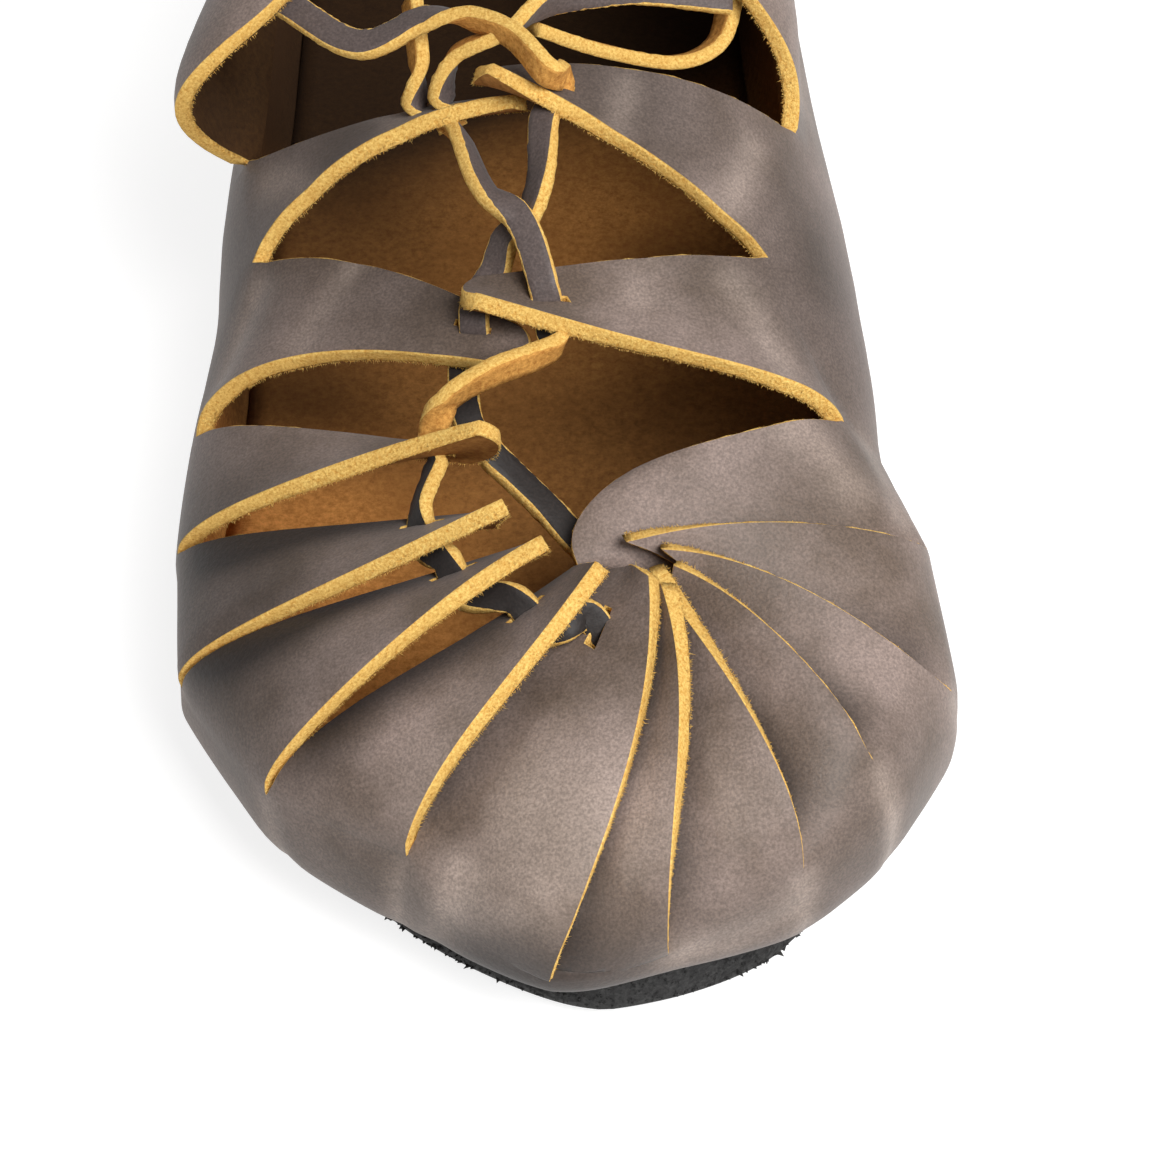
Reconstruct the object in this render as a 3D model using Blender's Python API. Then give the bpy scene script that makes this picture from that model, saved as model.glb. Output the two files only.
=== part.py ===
"""Medieval tie shoe for the right foot: a one-piece leather upper, slit into strips
that are gathered over the toe and into straps that are tied over the instep,
on an insole and a flat rubber outsole. Toe toward -Y, heel toward +Y, up is +Z."""

import bpy
import numpy as np

MM = 0.001

# Main sizes in millimetres
LEATHER = 2.4           # thickness of the upper's leather
SEAT_GAP = 0.3          # clearance where two pieces meet
SOLE_THICK = 8.0        # outsole
SOLE_INSET = 0.5        # outsole edge inside the line where the upper turns under
SOLE_ROUND = 0.8        # rounded lower edge of the outsole
SOLE_SOFT = 1.0         # the outsole's outline is round between the ribs
INSOLE_THICK = 2.5
INSOLE_INSET = 0.5      # insole edge inside the same line
MARGIN = 9.0            # upper turned in under the insole
TOE_SPRING = 2.5        # rise of the sole at its tip
SPRING_Y = -100.0       # where the toe spring starts
SPRING_RUN = 32.0       # distance over which it reaches its full rise
ARCH_RISE = 1.0         # hollow of the waist under the arch
ARCH_Y = 25.0           # middle of the waist
ARCH_HALF = 48.0        # half length of the waist hollow
TURN_UNDER = 1.5        # the wall stays upright and turns under low down; 1 is an ellipse
SLIT_GAP = 0.024        # half opening of a slit, in rib steps
SHIFT_X = 2.2           # brings the middle of the shoe to the origin
SHIFT_Y = -0.65
THONG_WIDE = 4.2        # flat leather thong of the lace
THONG_THICK = 2.0
LOOP_RADIUS = 1.5       # loose loop of the lace in the opening

FEATHER_Z = SOLE_THICK + SEAT_GAP + LEATHER / 2

# One rib per slit or wall line, counted from the left collar slit over the toe to the
# right collar slit and back round the heel. Lengths in millimetres, angles in degrees.
# rim: widest point of the wall; top: point the rib runs to; tuck: how far the wall
# comes in at the sole; full: squareness of the arc; slit: foot of the slit above the
# rim; collar: top line of the quarter; soft: 1 for a round wall, less for a corner.
RIB_COLUMNS = ("rim_x", "rim_y", "rim_z", "top_x", "top_y", "top_z",
               "tuck", "full", "slit", "collar", "soft")
RIBS = (
    (-50.0, -6.5, 27, -1, -14, 76, 6, 2.0, 24, 54, 0.90),    # left collar slit
    (-51.0, -26.0, 26, 0, -33, 65, 7, 2.0, 29, 0, 0.80),     # left straps A and B
    (-54.0, -48.5, 25, 2, -58, 53, 9, 2.0, 12, 0, 0.55),     # left strap A and strip L1
    (-56.0, -68.5, 24, 2, -73, 48, 8.5, 2.0, 8, 0, 0.25),    # L1 and L2
    (-55.0, -89.0, 23, 4, -81, 45, 11.5, 2.1, -4, 0, 0.25),  # L2 and L3
    (-43.0, -112.3, 23, 7, -86, 43, 10.5, 2.2, 6, 0, 0.40),  # L3 and L4
    (-25.0, -125.5, 18.5, 9, -88, 43, 5.5, 2.2, 16, 0, 0.85),    # L4 and C1
    (-5.5, -138.3, 17.5, 9, -88, 43, 6, 2.2, -6, 0, 0.75),       # C1 and C2
    (10.0, -134.8, 17.5, 9, -88, 43, 2.5, 2.2, -2, 0, 0.45),     # C2 and C3
    (28.5, -129.4, 21.5, 9, -88, 43, 5.5, 2.2, 11, 0, 0.25),     # C3 and R5
    (40.8, -119.6, 24.5, 9, -88, 43, 10, 2.2, 27, 0, 0.25),  # R5 and R4
    (51.6, -97.8, 18.5, 9, -88, 43, 9, 2.2, 16, 0, 0.25),    # R4 and R3
    (49.5, -72.7, 25.5, 8, -84, 44, 7.5, 2.1, 10, 0, 0.25),  # R3 and R2
    (44.0, -56.5, 26, 5, -63, 50, 7, 2.0, 33, 0, 0.80),      # R2 and right strap A
    (43.5, -39.5, 27, 3, -37, 61, 8, 2.0, 52, 0, 0.90),      # right straps A and B
    (41.5, -12.5, 27, 1, -14, 74, 8, 2.0, 37, 56, 1.00),     # right collar slit
    (36.0, 35.0, 28, -3, 35, 97, 9, 2.1, 22, 43, 1.00),      # right ankle and arch
    (32.0, 100.0, 28, -4, 98, 100, 5, 2.1, 20, 42, 1.00),    # right side of the heel
    (19.0, 131.0, 28, -4, 104, 100, 4, 2.1, 20, 42, 1.00),
    (-4.0, 140.0, 28, -4, 104, 100, 4, 2.1, 20, 43, 1.00),   # back of the heel
    (-27.0, 131.0, 28, -4, 104, 100, 4, 2.1, 20, 42, 1.00),
    (-40.0, 100.0, 28, -4, 98, 100, 5, 2.1, 20, 42, 1.00),   # left side of the heel
    (-45.0, 35.0, 28, -4, 35, 97, 6, 2.1, 22, 43, 1.00),     # left ankle
)
RIB_COUNT = len(RIBS)
QUARTER_RIB = 15        # the quarter runs from this rib round the heel to rib 0

# Straps and strips in rib order. For either edge: mid and tip shift it along the ribs
# toward the next strip, in rib steps; end is the angle its tip reaches; low, high and
# last lift it off the foot near its root, further up and at its tip, in millimetres.
# bow rounds the tip by so many degrees; slot is the cell across and up cut for the lace.
STRIPS = (
    # name, left edge (mid, tip, end, low, high, last), right edge, bow, slot
    ("left strap B", (0.32, 0.34, 80, -3.6, -5.5, -3.0), (-0.36, -0.57, 82, 1.5, 2.8, 0.8), 3, (2, 7)),
    ("left strap A", (0.27, 0.71, 78, -3.0, -4.1, -1.3), (-0.21, 0.11, 78, 4.8, -1.0, 0.2), 4, (2, 8)),
    ("L1", (0.34, 0.91, 74, 0.8, -2.9, 0.0), (0.24, 0.03, 76, 2.3, 1.2, 10.3), 3, (2, 8)),
    ("L2", (0.33, 0.79, 76, -0.2, -1.9, 0.8), (0.21, 0.41, 76, 1.7, -1.2, 13.2), 0, (1, 8)),
    ("L3", (0.19, 0.46, 78, 0.8, -1.8, 2.2), (0.08, 0.01, 78, 1.6, 5.3, 11.5), 0, (1, 8)),
    ("L4", (0.00, 0.22, 82, 0.9, -3.8, 2.5), (0.05, 0.25, 80, 6.3, 4.6, 9.3), 0, (1, 8)),
    ("C1", (-0.05, -1.08, 84, -2.0, -3.0, -1.3), (0.12, 1.20, 82, 2.5, 1.2, 5.6), 4, (2, 8)),
    ("C2", (0.22, 0.78, 74, -3.3, -4.4, -3.8), (-0.11, 0.73, 81, 2.6, 1.6, 5.0), 0, None),
    ("C3", (-0.11, 0.31, 74, -3.2, -5.4, -5.6), (0.13, 0.06, 87, 1.9, 1.4, 2.4), 0, None),
    ("R5", (0.23, -0.30, 79, -3.5, -6.8, -7.6), (0.03, 0.56, 85, 1.6, 0.9, 2.4), 1, None),
    ("R4", (0.07, 0.14, 74, -3.0, -4.2, -5.4), (-0.37, 0.46, 87, 1.2, 1.5, 1.8), 0, None),
    ("R3", (-0.33, 0.04, 76, -2.8, -4.2, -5.9), (-0.32, 0.00, 92, 1.1, 1.9, 0.9), 0, None),
    ("R2", (-0.26, -0.42, 80, -2.5, -4.0, -6.0), (-0.29, -0.46, 87, 0.9, 2.1, -2.4), 17, None),
    ("right strap A", (0.02, 0.49, 112, 7.4, 2.4, 8.0), (-0.30, -0.28, 113, 1.8, -0.6, 2.6), 3, (2, 7)),
    ("right strap B", (0.30, 0.83, 104, 2.2, 4.2, 8.5), (-0.14, -0.07, 105, 0.1, 1.1, 1.4), 3, (2, 7)),
)
# Front edges of the quarter, in the same columns
COLLAR_RIGHT = (0.16, 0.25, 56, 6.6, 5.2, 5.7)
COLLAR_LEFT = (0.38, -0.21, 54, 23.5, 22.4, 13.2)
COLLAR_SPREAD = 0.16    # share of the quarter bent by either front edge

# Lace strands by piece. A stop on a strip names it and gives the place across and up it
# and the height of the thong's middle above the middle of the leather, below zero on the
# flesh side; a free stop gives x, y and z.
LACES = (
    ("toe_thong_L1_L2", ((("L1", 0.45, 0.87, -2.6), ("L2", 0.25, 0.865, 2.6)),)),
    ("toe_thong_L2_L3", ((("L2", 0.45, 0.87, -2.6), ("L3", 0.25, 0.865, 2.6)),)),
    ("toe_thong_L3_L4", ((("L3", 0.45, 0.87, -2.6), ("L4", 0.25, 0.865, 2.6)),)),
    ("toe_thong_L4_C1", ((("L4", 0.66, 0.87, -2.6), ("C1", 0.46, 0.865, 2.7)),)),
    ("lace_to_L1", (
        (("L1", 0.50, 0.865, 2.6), (-17.8, -67.0, 55.0), (-11.5, -64.0, 57.5),
         (-5.4, -60.0, 56.2), ("right strap A", 0.05, 0.80, -3.0)),)),
    ("lace_to_R2", (
        (("R2", 0.50, 0.93, -3.1), (-5.0, -73.0, 41.0), (-9.0, -69.7, 43.2),
         (-11.8, -68.4, 45.8)),)),
    ("lace_crossing", (
        (("left strap B", 0.80, 0.80, -2.6), (-11.5, -36.0, 66.0), (-6.8, -41.0, 65.0),
         ("right strap A", 0.45, 0.80, 2.6)),
        (("right strap B", 0.10, 0.80, -2.6), (-3.8, -36.0, 67.5), (-6.0, -39.5, 63.6),
         (-8.8, -40.6, 61.0), (-10.3, -43.0, 57.5)))),
    ("lace_top", (
        (("right strap B", 0.50, 0.775, 2.6), (-2.5, -26.0, 79.0), (-7.0, -20.2, 80.5),
         (-12.8, -15.9, 80.2), (-19.3, -14.2, 79.0), (-28.4, -14.8, 75.5), (-39.6, -4.6, 75.2)),
        (("left strap B", 0.40, 0.73, 2.5), (-15.5, -16.5, 74.5), (-8.6, -16.9, 78.6),
         (-2.2, -10.5, 79.0), (10.0, -6.0, 77.5), (24.8, -3.8, 73.5)),
        (("left strap B", 0.30, 0.66, 2.5), (-20.6, -14.5, 74.0), (-20.9, -11.8, 77.0),
         (-21.2, -6.0, 75.5)))),
)
LOOP_STOPS = ((-4.0, -12.0, 75.8), (5.7, -10.2, 70.0), (17.4, -8.4, 66.0), (23.0, -4.8, 66.5),
              (25.4, 1.0, 71.0))

# Steps of the mesh: from the turned-under edge up the wall, across and up a strip
WALL_STEPS = (0.0, 0.13, 0.27, 0.43, 0.60, 0.80, 1.0)
STRIP_ACROSS = 5
STRIP_STEPS = (0.0, 0.07, 0.16, 0.27, 0.39, 0.51, 0.63, 0.73, 0.82, 0.91, 1.0)
QUARTER_ACROSS = 4      # columns for each rib of the quarter
QUARTER_STEPS = (0.0, 0.2, 0.4, 0.6, 0.8, 1.0)
STOP_STEPS = 5          # sections from one stop of a strand to the next

RIB_TABLE = np.array(RIBS, float)


def ease(value, start, stop):
    """Smooth step from 0 at start to 1 at stop."""
    part = np.clip((value - start) / (stop - start), 0.0, 1.0)
    return part * part * (3.0 - 2.0 * part)


def sole_rise(y):
    """Height the sole is bent up by at y: toe spring and the hollow of the waist."""
    spring = TOE_SPRING * np.clip((SPRING_Y - y) / SPRING_RUN, 0.0, None) ** 2
    waist = np.clip(np.abs(y - ARCH_Y) / ARCH_HALF, 0.0, 1.0)
    return spring + ARCH_RISE * np.cos(waist * np.pi / 2) ** 2


def curve_between(before, here, after, beyond, part):
    """Smooth curve from here to after, led by the values before and beyond them."""
    return here + 0.5 * part * (after - before + part * (
        2 * before - 5 * here + 4 * after - beyond
        + part * (3 * here - before - 3 * after + beyond)))


def rib(step, soft=None):
    """Rib columns at any place between two ribs, with their own roundness or a given one."""
    step = np.asarray(step, float)
    index = np.floor(step).astype(int)
    part = (step - index)[..., None]
    before, here, after, beyond = (RIB_TABLE[(index + k) % RIB_COUNT] for k in (-1, 0, 1, 2))
    straight = here + (after - here) * part
    curve = curve_between(before, here, after, beyond, part)
    if soft is None:
        soft = here[..., -1:]
    mixed = straight + (curve - straight) * soft
    columns = {name: mixed[..., k] for k, name in enumerate(RIB_COLUMNS)}
    for name in ("slit", "collar"):
        columns[name] = straight[..., RIB_COLUMNS.index(name)]
    return columns


def last_point(step, angle):
    """Point of the last's surface on a rib: 0 degrees at the rim, 90 at the top,
    -90 where the wall turns under at the sole."""
    row = rib(step)
    angle = np.asarray(angle, float)
    run_x = row["rim_x"] - row["top_x"]
    run_y = row["rim_y"] - row["top_y"]
    run = np.hypot(run_x, run_y)
    run_x, run_y = run_x / run, run_y / run
    cosine, sine = np.cos(np.radians(angle)), np.sin(np.radians(angle))
    power = 2.0 / row["full"]
    upper_run = run * np.sign(cosine) * np.abs(cosine) ** power
    upper_z = row["rim_z"] + (row["top_z"] - row["rim_z"]) * np.abs(sine) ** power
    foot = FEATHER_Z + sole_rise(row["top_y"] + run_y * (run - row["tuck"]))
    lower_run = run - row["tuck"] * (1.0 - cosine) ** TURN_UNDER
    lower_z = row["rim_z"] + (row["rim_z"] - foot) * sine
    out = np.where(angle >= 0.0, upper_run, lower_run)
    height = np.where(angle >= 0.0, upper_z, lower_z)
    return np.stack([row["top_x"] + run_x * out, row["top_y"] + run_y * out, height], -1)


def last_normal(step, angle):
    """Outward normal of the last's surface."""
    along = last_point(step + 0.02, angle) - last_point(step - 0.02, angle)
    up = last_point(step, angle + 0.5) - last_point(step, angle - 0.5)
    normal = np.cross(along, up)
    return normal / np.linalg.norm(normal, axis=-1, keepdims=True)


def margin_point(step, inset, soft=None):
    """Point of the turned-in margin, inset from the line where the wall turns under."""
    row = rib(step, soft)
    run_x = row["rim_x"] - row["top_x"]
    run_y = row["rim_y"] - row["top_y"]
    run = np.hypot(run_x, run_y)
    out = (run - row["tuck"] - inset) / run
    x, y = row["top_x"] + run_x * out, row["top_y"] + run_y * out
    return np.stack([x, y, FEATHER_Z + sole_rise(y)], -1)


def edge_shift(edge, up):
    """Shift of a strip's edge along the ribs at a height share up."""
    mid, tip = edge[:2]
    return 2 * up * (1 - up) * mid + up * up * tip


def edge_lift(edge, up):
    """Lift of a strip's edge off the last at a height share up."""
    low, high, last = edge[3:]
    return 3 * up * (1 - up) ** 2 * low + 3 * up * up * (1 - up) * high + up ** 3 * last


def strip_point(index, across, up):
    """Middle of the leather of a strip or strap; across and up run from 0 to 1."""
    left, right, bow = STRIPS[index][1:4]
    notch = SLIT_GAP * np.clip(up / 0.07, 0.0, 1.0)
    left_step = index + edge_shift(left, up) + notch
    right_step = index + 1 + edge_shift(right, up) - notch
    step = left_step + (right_step - left_step) * across
    root = rib(index + across)["slit"]
    left_end, right_end = left[2], right[2]
    end = left_end + (right_end - left_end) * across + bow * (1 - np.abs(2 * across - 1) ** 2.5)
    angle = root + (end - root) * up
    lift = edge_lift(left, up) * (1 - across) + edge_lift(right, up) * across
    return last_point(step, angle) + last_normal(step, angle) * lift[..., None]


def quarter_point(across, up):
    """Middle of the leather of the quarter, from the right collar slit round the heel."""
    near_right = 1 - ease(across, 0.0, COLLAR_SPREAD)
    near_left = ease(across, 1 - COLLAR_SPREAD, 1.0)
    notch = SLIT_GAP * np.clip(up / 0.2, 0.0, 1.0) * (near_right - near_left)
    place = QUARTER_RIB + (RIB_COUNT - QUARTER_RIB) * across
    step = place + notch + edge_shift(COLLAR_RIGHT, up) * near_right
    step = step + edge_shift(COLLAR_LEFT, up) * near_left
    row = rib(place)
    angle = row["slit"] + (row["collar"] - row["slit"]) * up
    lift = edge_lift(COLLAR_RIGHT, up) * near_right + edge_lift(COLLAR_LEFT, up) * near_left
    return last_point(step, angle) + last_normal(step, angle) * lift[..., None]


def wall_steps():
    """Rib places of the wall's columns all the way round."""
    places = [k + c / STRIP_ACROSS for k in range(QUARTER_RIB) for c in range(STRIP_ACROSS)]
    for k in range(QUARTER_RIB, RIB_COUNT):
        places += [k + c / QUARTER_ACROSS for c in range(QUARTER_ACROSS)]
    return np.array(places)


def upper_sheet():
    """Points and four-sided cells of the middle of the upper's leather."""
    places = wall_steps()
    count = len(places)
    root = rib(places)["slit"]
    rows = [margin_point(places, MARGIN), margin_point(places, MARGIN / 2)]
    rows += [last_point(places, -90.0 + (root + 90.0) * part) for part in WALL_STEPS]
    points = list(rows)
    cells = []
    for level in range(len(rows) - 1):
        for k in range(count):
            a, b = level * count + k, level * count + (k + 1) % count
            cells.append((a, b, b + count, a + count))
    top = (len(rows) - 1) * count
    used = len(rows) * count
    for index in range(QUARTER_RIB):
        base = [top + index * STRIP_ACROSS + c for c in range(STRIP_ACROSS + 1)]
        used, new_points, new_cells = strip_cells(
            base, used, STRIP_STEPS, lambda across, up: strip_point(index, across, up), STRIPS[index][4])
        points.append(new_points)
        cells += new_cells
    first = top + QUARTER_RIB * STRIP_ACROSS
    base = [first + c for c in range(QUARTER_ACROSS * (RIB_COUNT - QUARTER_RIB))] + [top]
    used, new_points, new_cells = strip_cells(base, used, QUARTER_STEPS, quarter_point, None)
    points.append(new_points)
    cells += new_cells
    return np.concatenate(points), cells


def strip_cells(base, used, steps, place, slot):
    """Rows of points above a row of base points, with the cells between them."""
    wide = len(base)
    across = np.linspace(0.0, 1.0, wide)
    rows = [place(across, np.full(wide, up)) for up in steps[1:]]
    below = base
    cells = []
    for level in range(len(rows)):
        here = [used + level * wide + c for c in range(wide)]
        for c in range(wide - 1):
            if (c, level) == slot:
                continue
            cells.append((below[c], below[c + 1], here[c + 1], here[c]))
        below = here
    return used + wide * len(rows), np.concatenate(rows), cells


def thicken(points, cells, thickness):
    """Closed solid of even thickness round a sheet of four-sided cells."""
    normals = np.zeros_like(points)
    corners = np.array(cells)
    face = np.cross(points[corners[:, 2]] - points[corners[:, 0]],
                    points[corners[:, 3]] - points[corners[:, 1]])
    for k in range(4):
        np.add.at(normals, corners[:, k], face)
    normals /= np.linalg.norm(normals, axis=1, keepdims=True)
    count = len(points)
    solid = np.concatenate([points + normals * thickness / 2, points - normals * thickness / 2])
    faces = [tuple(cell) for cell in cells]
    faces += [tuple(count + k for k in reversed(cell)) for cell in cells]
    borders = {}
    for cell in cells:
        for a, b in zip(cell, cell[1:] + cell[:1]):
            if borders.pop((b, a), None) is None:
                borders[(a, b)] = True
    faces += [(b, a, count + a, count + b) for a, b in borders]
    return solid, faces


def side_lines(inset, soft):
    """Left and right outline of the sole as lines from toe to heel."""
    places = np.linspace(0.0, RIB_COUNT, 460, endpoint=False)
    line = margin_point(places, inset, soft)[:, :2]
    toe, heel = np.argmin(line[:, 1]), np.argmax(line[:, 1])
    right = line[toe:heel + 1]
    left = np.concatenate([line[heel:], line[:toe + 1]])[::-1]
    return left, right


def bed(inset, soft, low, thickness, rounding, stations):
    """Closed solid of a sole piece: sections across the foot, lofted from toe to heel."""
    left, right = side_lines(inset, soft)
    toe, heel = right[0, 1], right[-1, 1]
    turn = np.linspace(0.045, np.pi - 0.045, stations)
    points, faces = [], []
    for y in (toe + heel) / 2 - (heel - toe) / 2 * np.cos(turn):
        x_left = np.interp(y, left[:, 1], left[:, 0])
        x_right = np.interp(y, right[:, 1], right[:, 0])
        base = low + sole_rise(y)
        trim = min(rounding, 0.3 * (x_right - x_left))
        across = np.linspace(x_left + trim, x_right - trim, 5)
        ring = [(x, y, base) for x in across]
        ring += [(x_right, y, base + rounding), (x_right, y, base + thickness - rounding / 2)]
        across = np.linspace(x_right - trim / 2, x_left + trim / 2, 5)
        ring += [(x, y, base + thickness) for x in across]
        ring += [(x_left, y, base + thickness - rounding / 2), (x_left, y, base + rounding)]
        points += ring
    size = len(points) // stations
    for s in range(stations - 1):
        for k in range(size):
            a, b = s * size + k, s * size + (k + 1) % size
            faces.append((a, a + size, b + size, b))
    faces.append(tuple(range(size)))
    faces.append(tuple((stations - 1) * size + k for k in reversed(range(size))))
    return np.array(points), faces


def stop_place(stop):
    """Point and face direction of a stop of a lace strand."""
    if len(stop) == 3:
        return np.array(stop, float), np.array([0.0, -0.5, 0.87])
    index = [row[0] for row in STRIPS].index(stop[0])
    across = np.array([stop[1], stop[1] - 0.02, stop[1] + 0.02, stop[1], stop[1]])
    up = np.array([stop[2], stop[2], stop[2], stop[2] - 0.02, stop[2] + 0.02])
    middle, left, right, low, high = strip_point(index, across, up)
    face = np.cross(right - left, high - low)
    face /= np.linalg.norm(face)
    return middle + face * stop[3], face


def smooth_path(stops, steps):
    """Smooth curve through stops, with a fixed number of steps between two of them."""
    ends = np.concatenate([2 * stops[:1] - stops[1:2], stops, 2 * stops[-1:] - stops[-2:-1]])
    path = []
    for k in range(len(stops) - 1):
        path += [curve_between(*ends[k:k + 4], part) for part in np.arange(steps) / steps]
    return np.array(path + [stops[-1]])


def thong(stops):
    """Closed solid of a flat thong along the stops of a strand."""
    places = [stop_place(stop) for stop in stops]
    path = smooth_path(np.array([point for point, face in places]), STOP_STEPS)
    faces = smooth_path(np.array([face for point, face in places]), STOP_STEPS)
    ahead = np.gradient(path, axis=0)
    side = np.cross(ahead, faces)
    side /= np.linalg.norm(side, axis=1, keepdims=True)
    up = np.cross(side, ahead)
    up /= np.linalg.norm(up, axis=1, keepdims=True)
    wide, thick = side * THONG_WIDE / 2, up * THONG_THICK / 2
    rings = np.stack([path - wide - thick, path + wide - thick,
                      path + wide + thick, path - wide + thick], 1)
    count = len(path)
    cells = [(0, 1, 2, 3)]
    for s in range(count - 1):
        for k in range(4):
            a, b = 4 * s + k, 4 * s + (k + 1) % 4
            cells.append((a, a + 4, b + 4, b))
    cells.append(tuple(4 * (count - 1) + k for k in (3, 2, 1, 0)))
    return rings.reshape(-1, 3), cells


def join_strands(strands):
    """One piece from crossing strands that touch."""
    first, *others = strands
    for other in others:
        union = first.modifiers.new("join", "BOOLEAN")
        union.operation = "UNION"
        union.solver = "EXACT"
        union.object = other
    graph = bpy.context.evaluated_depsgraph_get()
    joined = bpy.data.meshes.new_from_object(first.evaluated_get(graph))
    first.modifiers.clear()
    first.data = joined
    for other in others:
        bpy.data.objects.remove(other, do_unlink=True)


def add_loop(name, stops, radius, material):
    """Loose loop of the lace as a tube."""
    path = smooth_path(np.array(stops, float), STOP_STEPS)
    moved = (path + np.array([SHIFT_X, SHIFT_Y, 0.0])) * MM
    curve = bpy.data.curves.new(name, "CURVE")
    curve.dimensions = "3D"
    curve.bevel_depth = radius * MM
    curve.bevel_resolution = 2
    curve.use_fill_caps = True
    line = curve.splines.new("POLY")
    line.points.add(len(moved) - 1)
    for point, place in zip(line.points, moved):
        point.co = (*place, 1.0)
    curve.materials.append(material)
    loop = bpy.data.objects.new(name, curve)
    bpy.context.scene.collection.objects.link(loop)


def add_piece(name, points, faces, material):
    """Named object of one closed mesh."""
    moved = (points + np.array([SHIFT_X, SHIFT_Y, 0.0])) * MM
    mesh = bpy.data.meshes.new(name)
    mesh.from_pydata([tuple(p) for p in moved], [], faces)
    mesh.validate()
    mesh.update()
    mesh.materials.append(material)
    piece = bpy.data.objects.new(name, mesh)
    bpy.context.scene.collection.objects.link(piece)
    return piece


def plain_material(name, colour, roughness):
    """Plain material of one colour."""
    material = bpy.data.materials.new(name)
    material.use_nodes = True
    shader = material.node_tree.nodes["Principled BSDF"]
    shader.inputs["Base Color"].default_value = colour + (1.0,)
    shader.inputs["Roughness"].default_value = roughness
    return material


for old in list(bpy.data.objects):
    bpy.data.objects.remove(old, do_unlink=True)

leather = plain_material("oiled leather", (0.13, 0.10, 0.09), 0.7)
suede = plain_material("insole suede", (0.35, 0.19, 0.07), 0.9)
cord = plain_material("lace leather", (0.45, 0.25, 0.08), 0.7)
rubber = plain_material("sole rubber", (0.012, 0.012, 0.013), 0.9)

sheet, sheet_cells = upper_sheet()
add_piece("upper", *thicken(sheet, sheet_cells, LEATHER), leather)
add_piece("insole", *bed(INSOLE_INSET, None, SOLE_THICK + LEATHER + 2 * SEAT_GAP,
                         INSOLE_THICK, 0.5, 36), suede)
add_piece("outsole", *bed(SOLE_INSET, SOLE_SOFT, 0.0, SOLE_THICK, SOLE_ROUND, 44), rubber)

for piece, strands in LACES:
    join_strands([add_piece(piece, *thong(stops), cord) for stops in strands])
add_loop("lace_loop", LOOP_STOPS, LOOP_RADIUS, cord)
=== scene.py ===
"""Looks of a medieval tie shoe: oiled leather with raw cut edges, a flat thong run through
its slots, a suede insole and a crepe sole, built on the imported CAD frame."""

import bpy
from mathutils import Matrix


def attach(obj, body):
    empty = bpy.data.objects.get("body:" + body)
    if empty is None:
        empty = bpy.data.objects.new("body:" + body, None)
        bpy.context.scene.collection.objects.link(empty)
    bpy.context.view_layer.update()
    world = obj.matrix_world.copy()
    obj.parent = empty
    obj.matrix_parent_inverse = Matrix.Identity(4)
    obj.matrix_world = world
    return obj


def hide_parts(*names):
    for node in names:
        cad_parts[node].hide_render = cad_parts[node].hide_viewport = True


bl_info = {
    "name": "Tie shoe looks",
    "version": (1, 0, 0),
    "blender": (4, 5, 0),
    "location": "3D View > Sidebar > Tie shoe",
    "description": "Builds the leather, lace, sole and studio of a tie shoe on its frame",
    "category": "Object",
}

import bpy
import numpy as np
from bpy.props import FloatProperty, FloatVectorProperty, IntProperty, PointerProperty
from mathutils import Vector

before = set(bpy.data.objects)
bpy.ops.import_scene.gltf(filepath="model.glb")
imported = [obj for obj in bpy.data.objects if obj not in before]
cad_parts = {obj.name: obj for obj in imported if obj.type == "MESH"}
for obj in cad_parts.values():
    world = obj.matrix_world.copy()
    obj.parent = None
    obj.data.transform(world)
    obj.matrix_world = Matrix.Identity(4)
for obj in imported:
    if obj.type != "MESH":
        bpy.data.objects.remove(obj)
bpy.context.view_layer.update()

MM = 0.001

# Main sizes of the shoe in millimetres, as in its frame
LEATHER = 2.4           # thickness of the upper's leather
SEAT_GAP = 0.3
SOLE_THICK = 8.0
SOLE_INSET = 0.5
SOLE_SOFT = 1.0         # the outsole's outline is round between the ribs
INSOLE_THICK = 2.5
INSOLE_INSET = 0.5
MARGIN = 9.0            # upper turned in under the insole
TOE_SPRING = 2.5
SPRING_Y = -100.0
SPRING_RUN = 32.0
ARCH_RISE = 1.0
ARCH_Y = 25.0
ARCH_HALF = 48.0
TURN_UNDER = 1.5        # the wall stays upright and turns under low down; 1 is an ellipse
SLIT_GAP = 0.024        # half opening of a slit, in rib steps
TIGHT_GAP = 0.006       # the same for the slits from C1 to R2, which lie closed
TIGHT_SLITS = range(7, 13)
SLIT_OPENS = 0.07       # share of a strip's height over which its slit opens
NOTCH_OPENS = 0.2       # the same for the collar slits, up the quarter
TIP_POWER = 2.5         # roundness of a strip's bowed tip
SHIFT = np.array([2.2, -0.65, 0.0])     # from the origin of the ribs to that of the frame
THONG_WIDE = 4.2
THONG_THICK = 2.0
FEATHER_Z = SOLE_THICK + SEAT_GAP + LEATHER / 2

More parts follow.
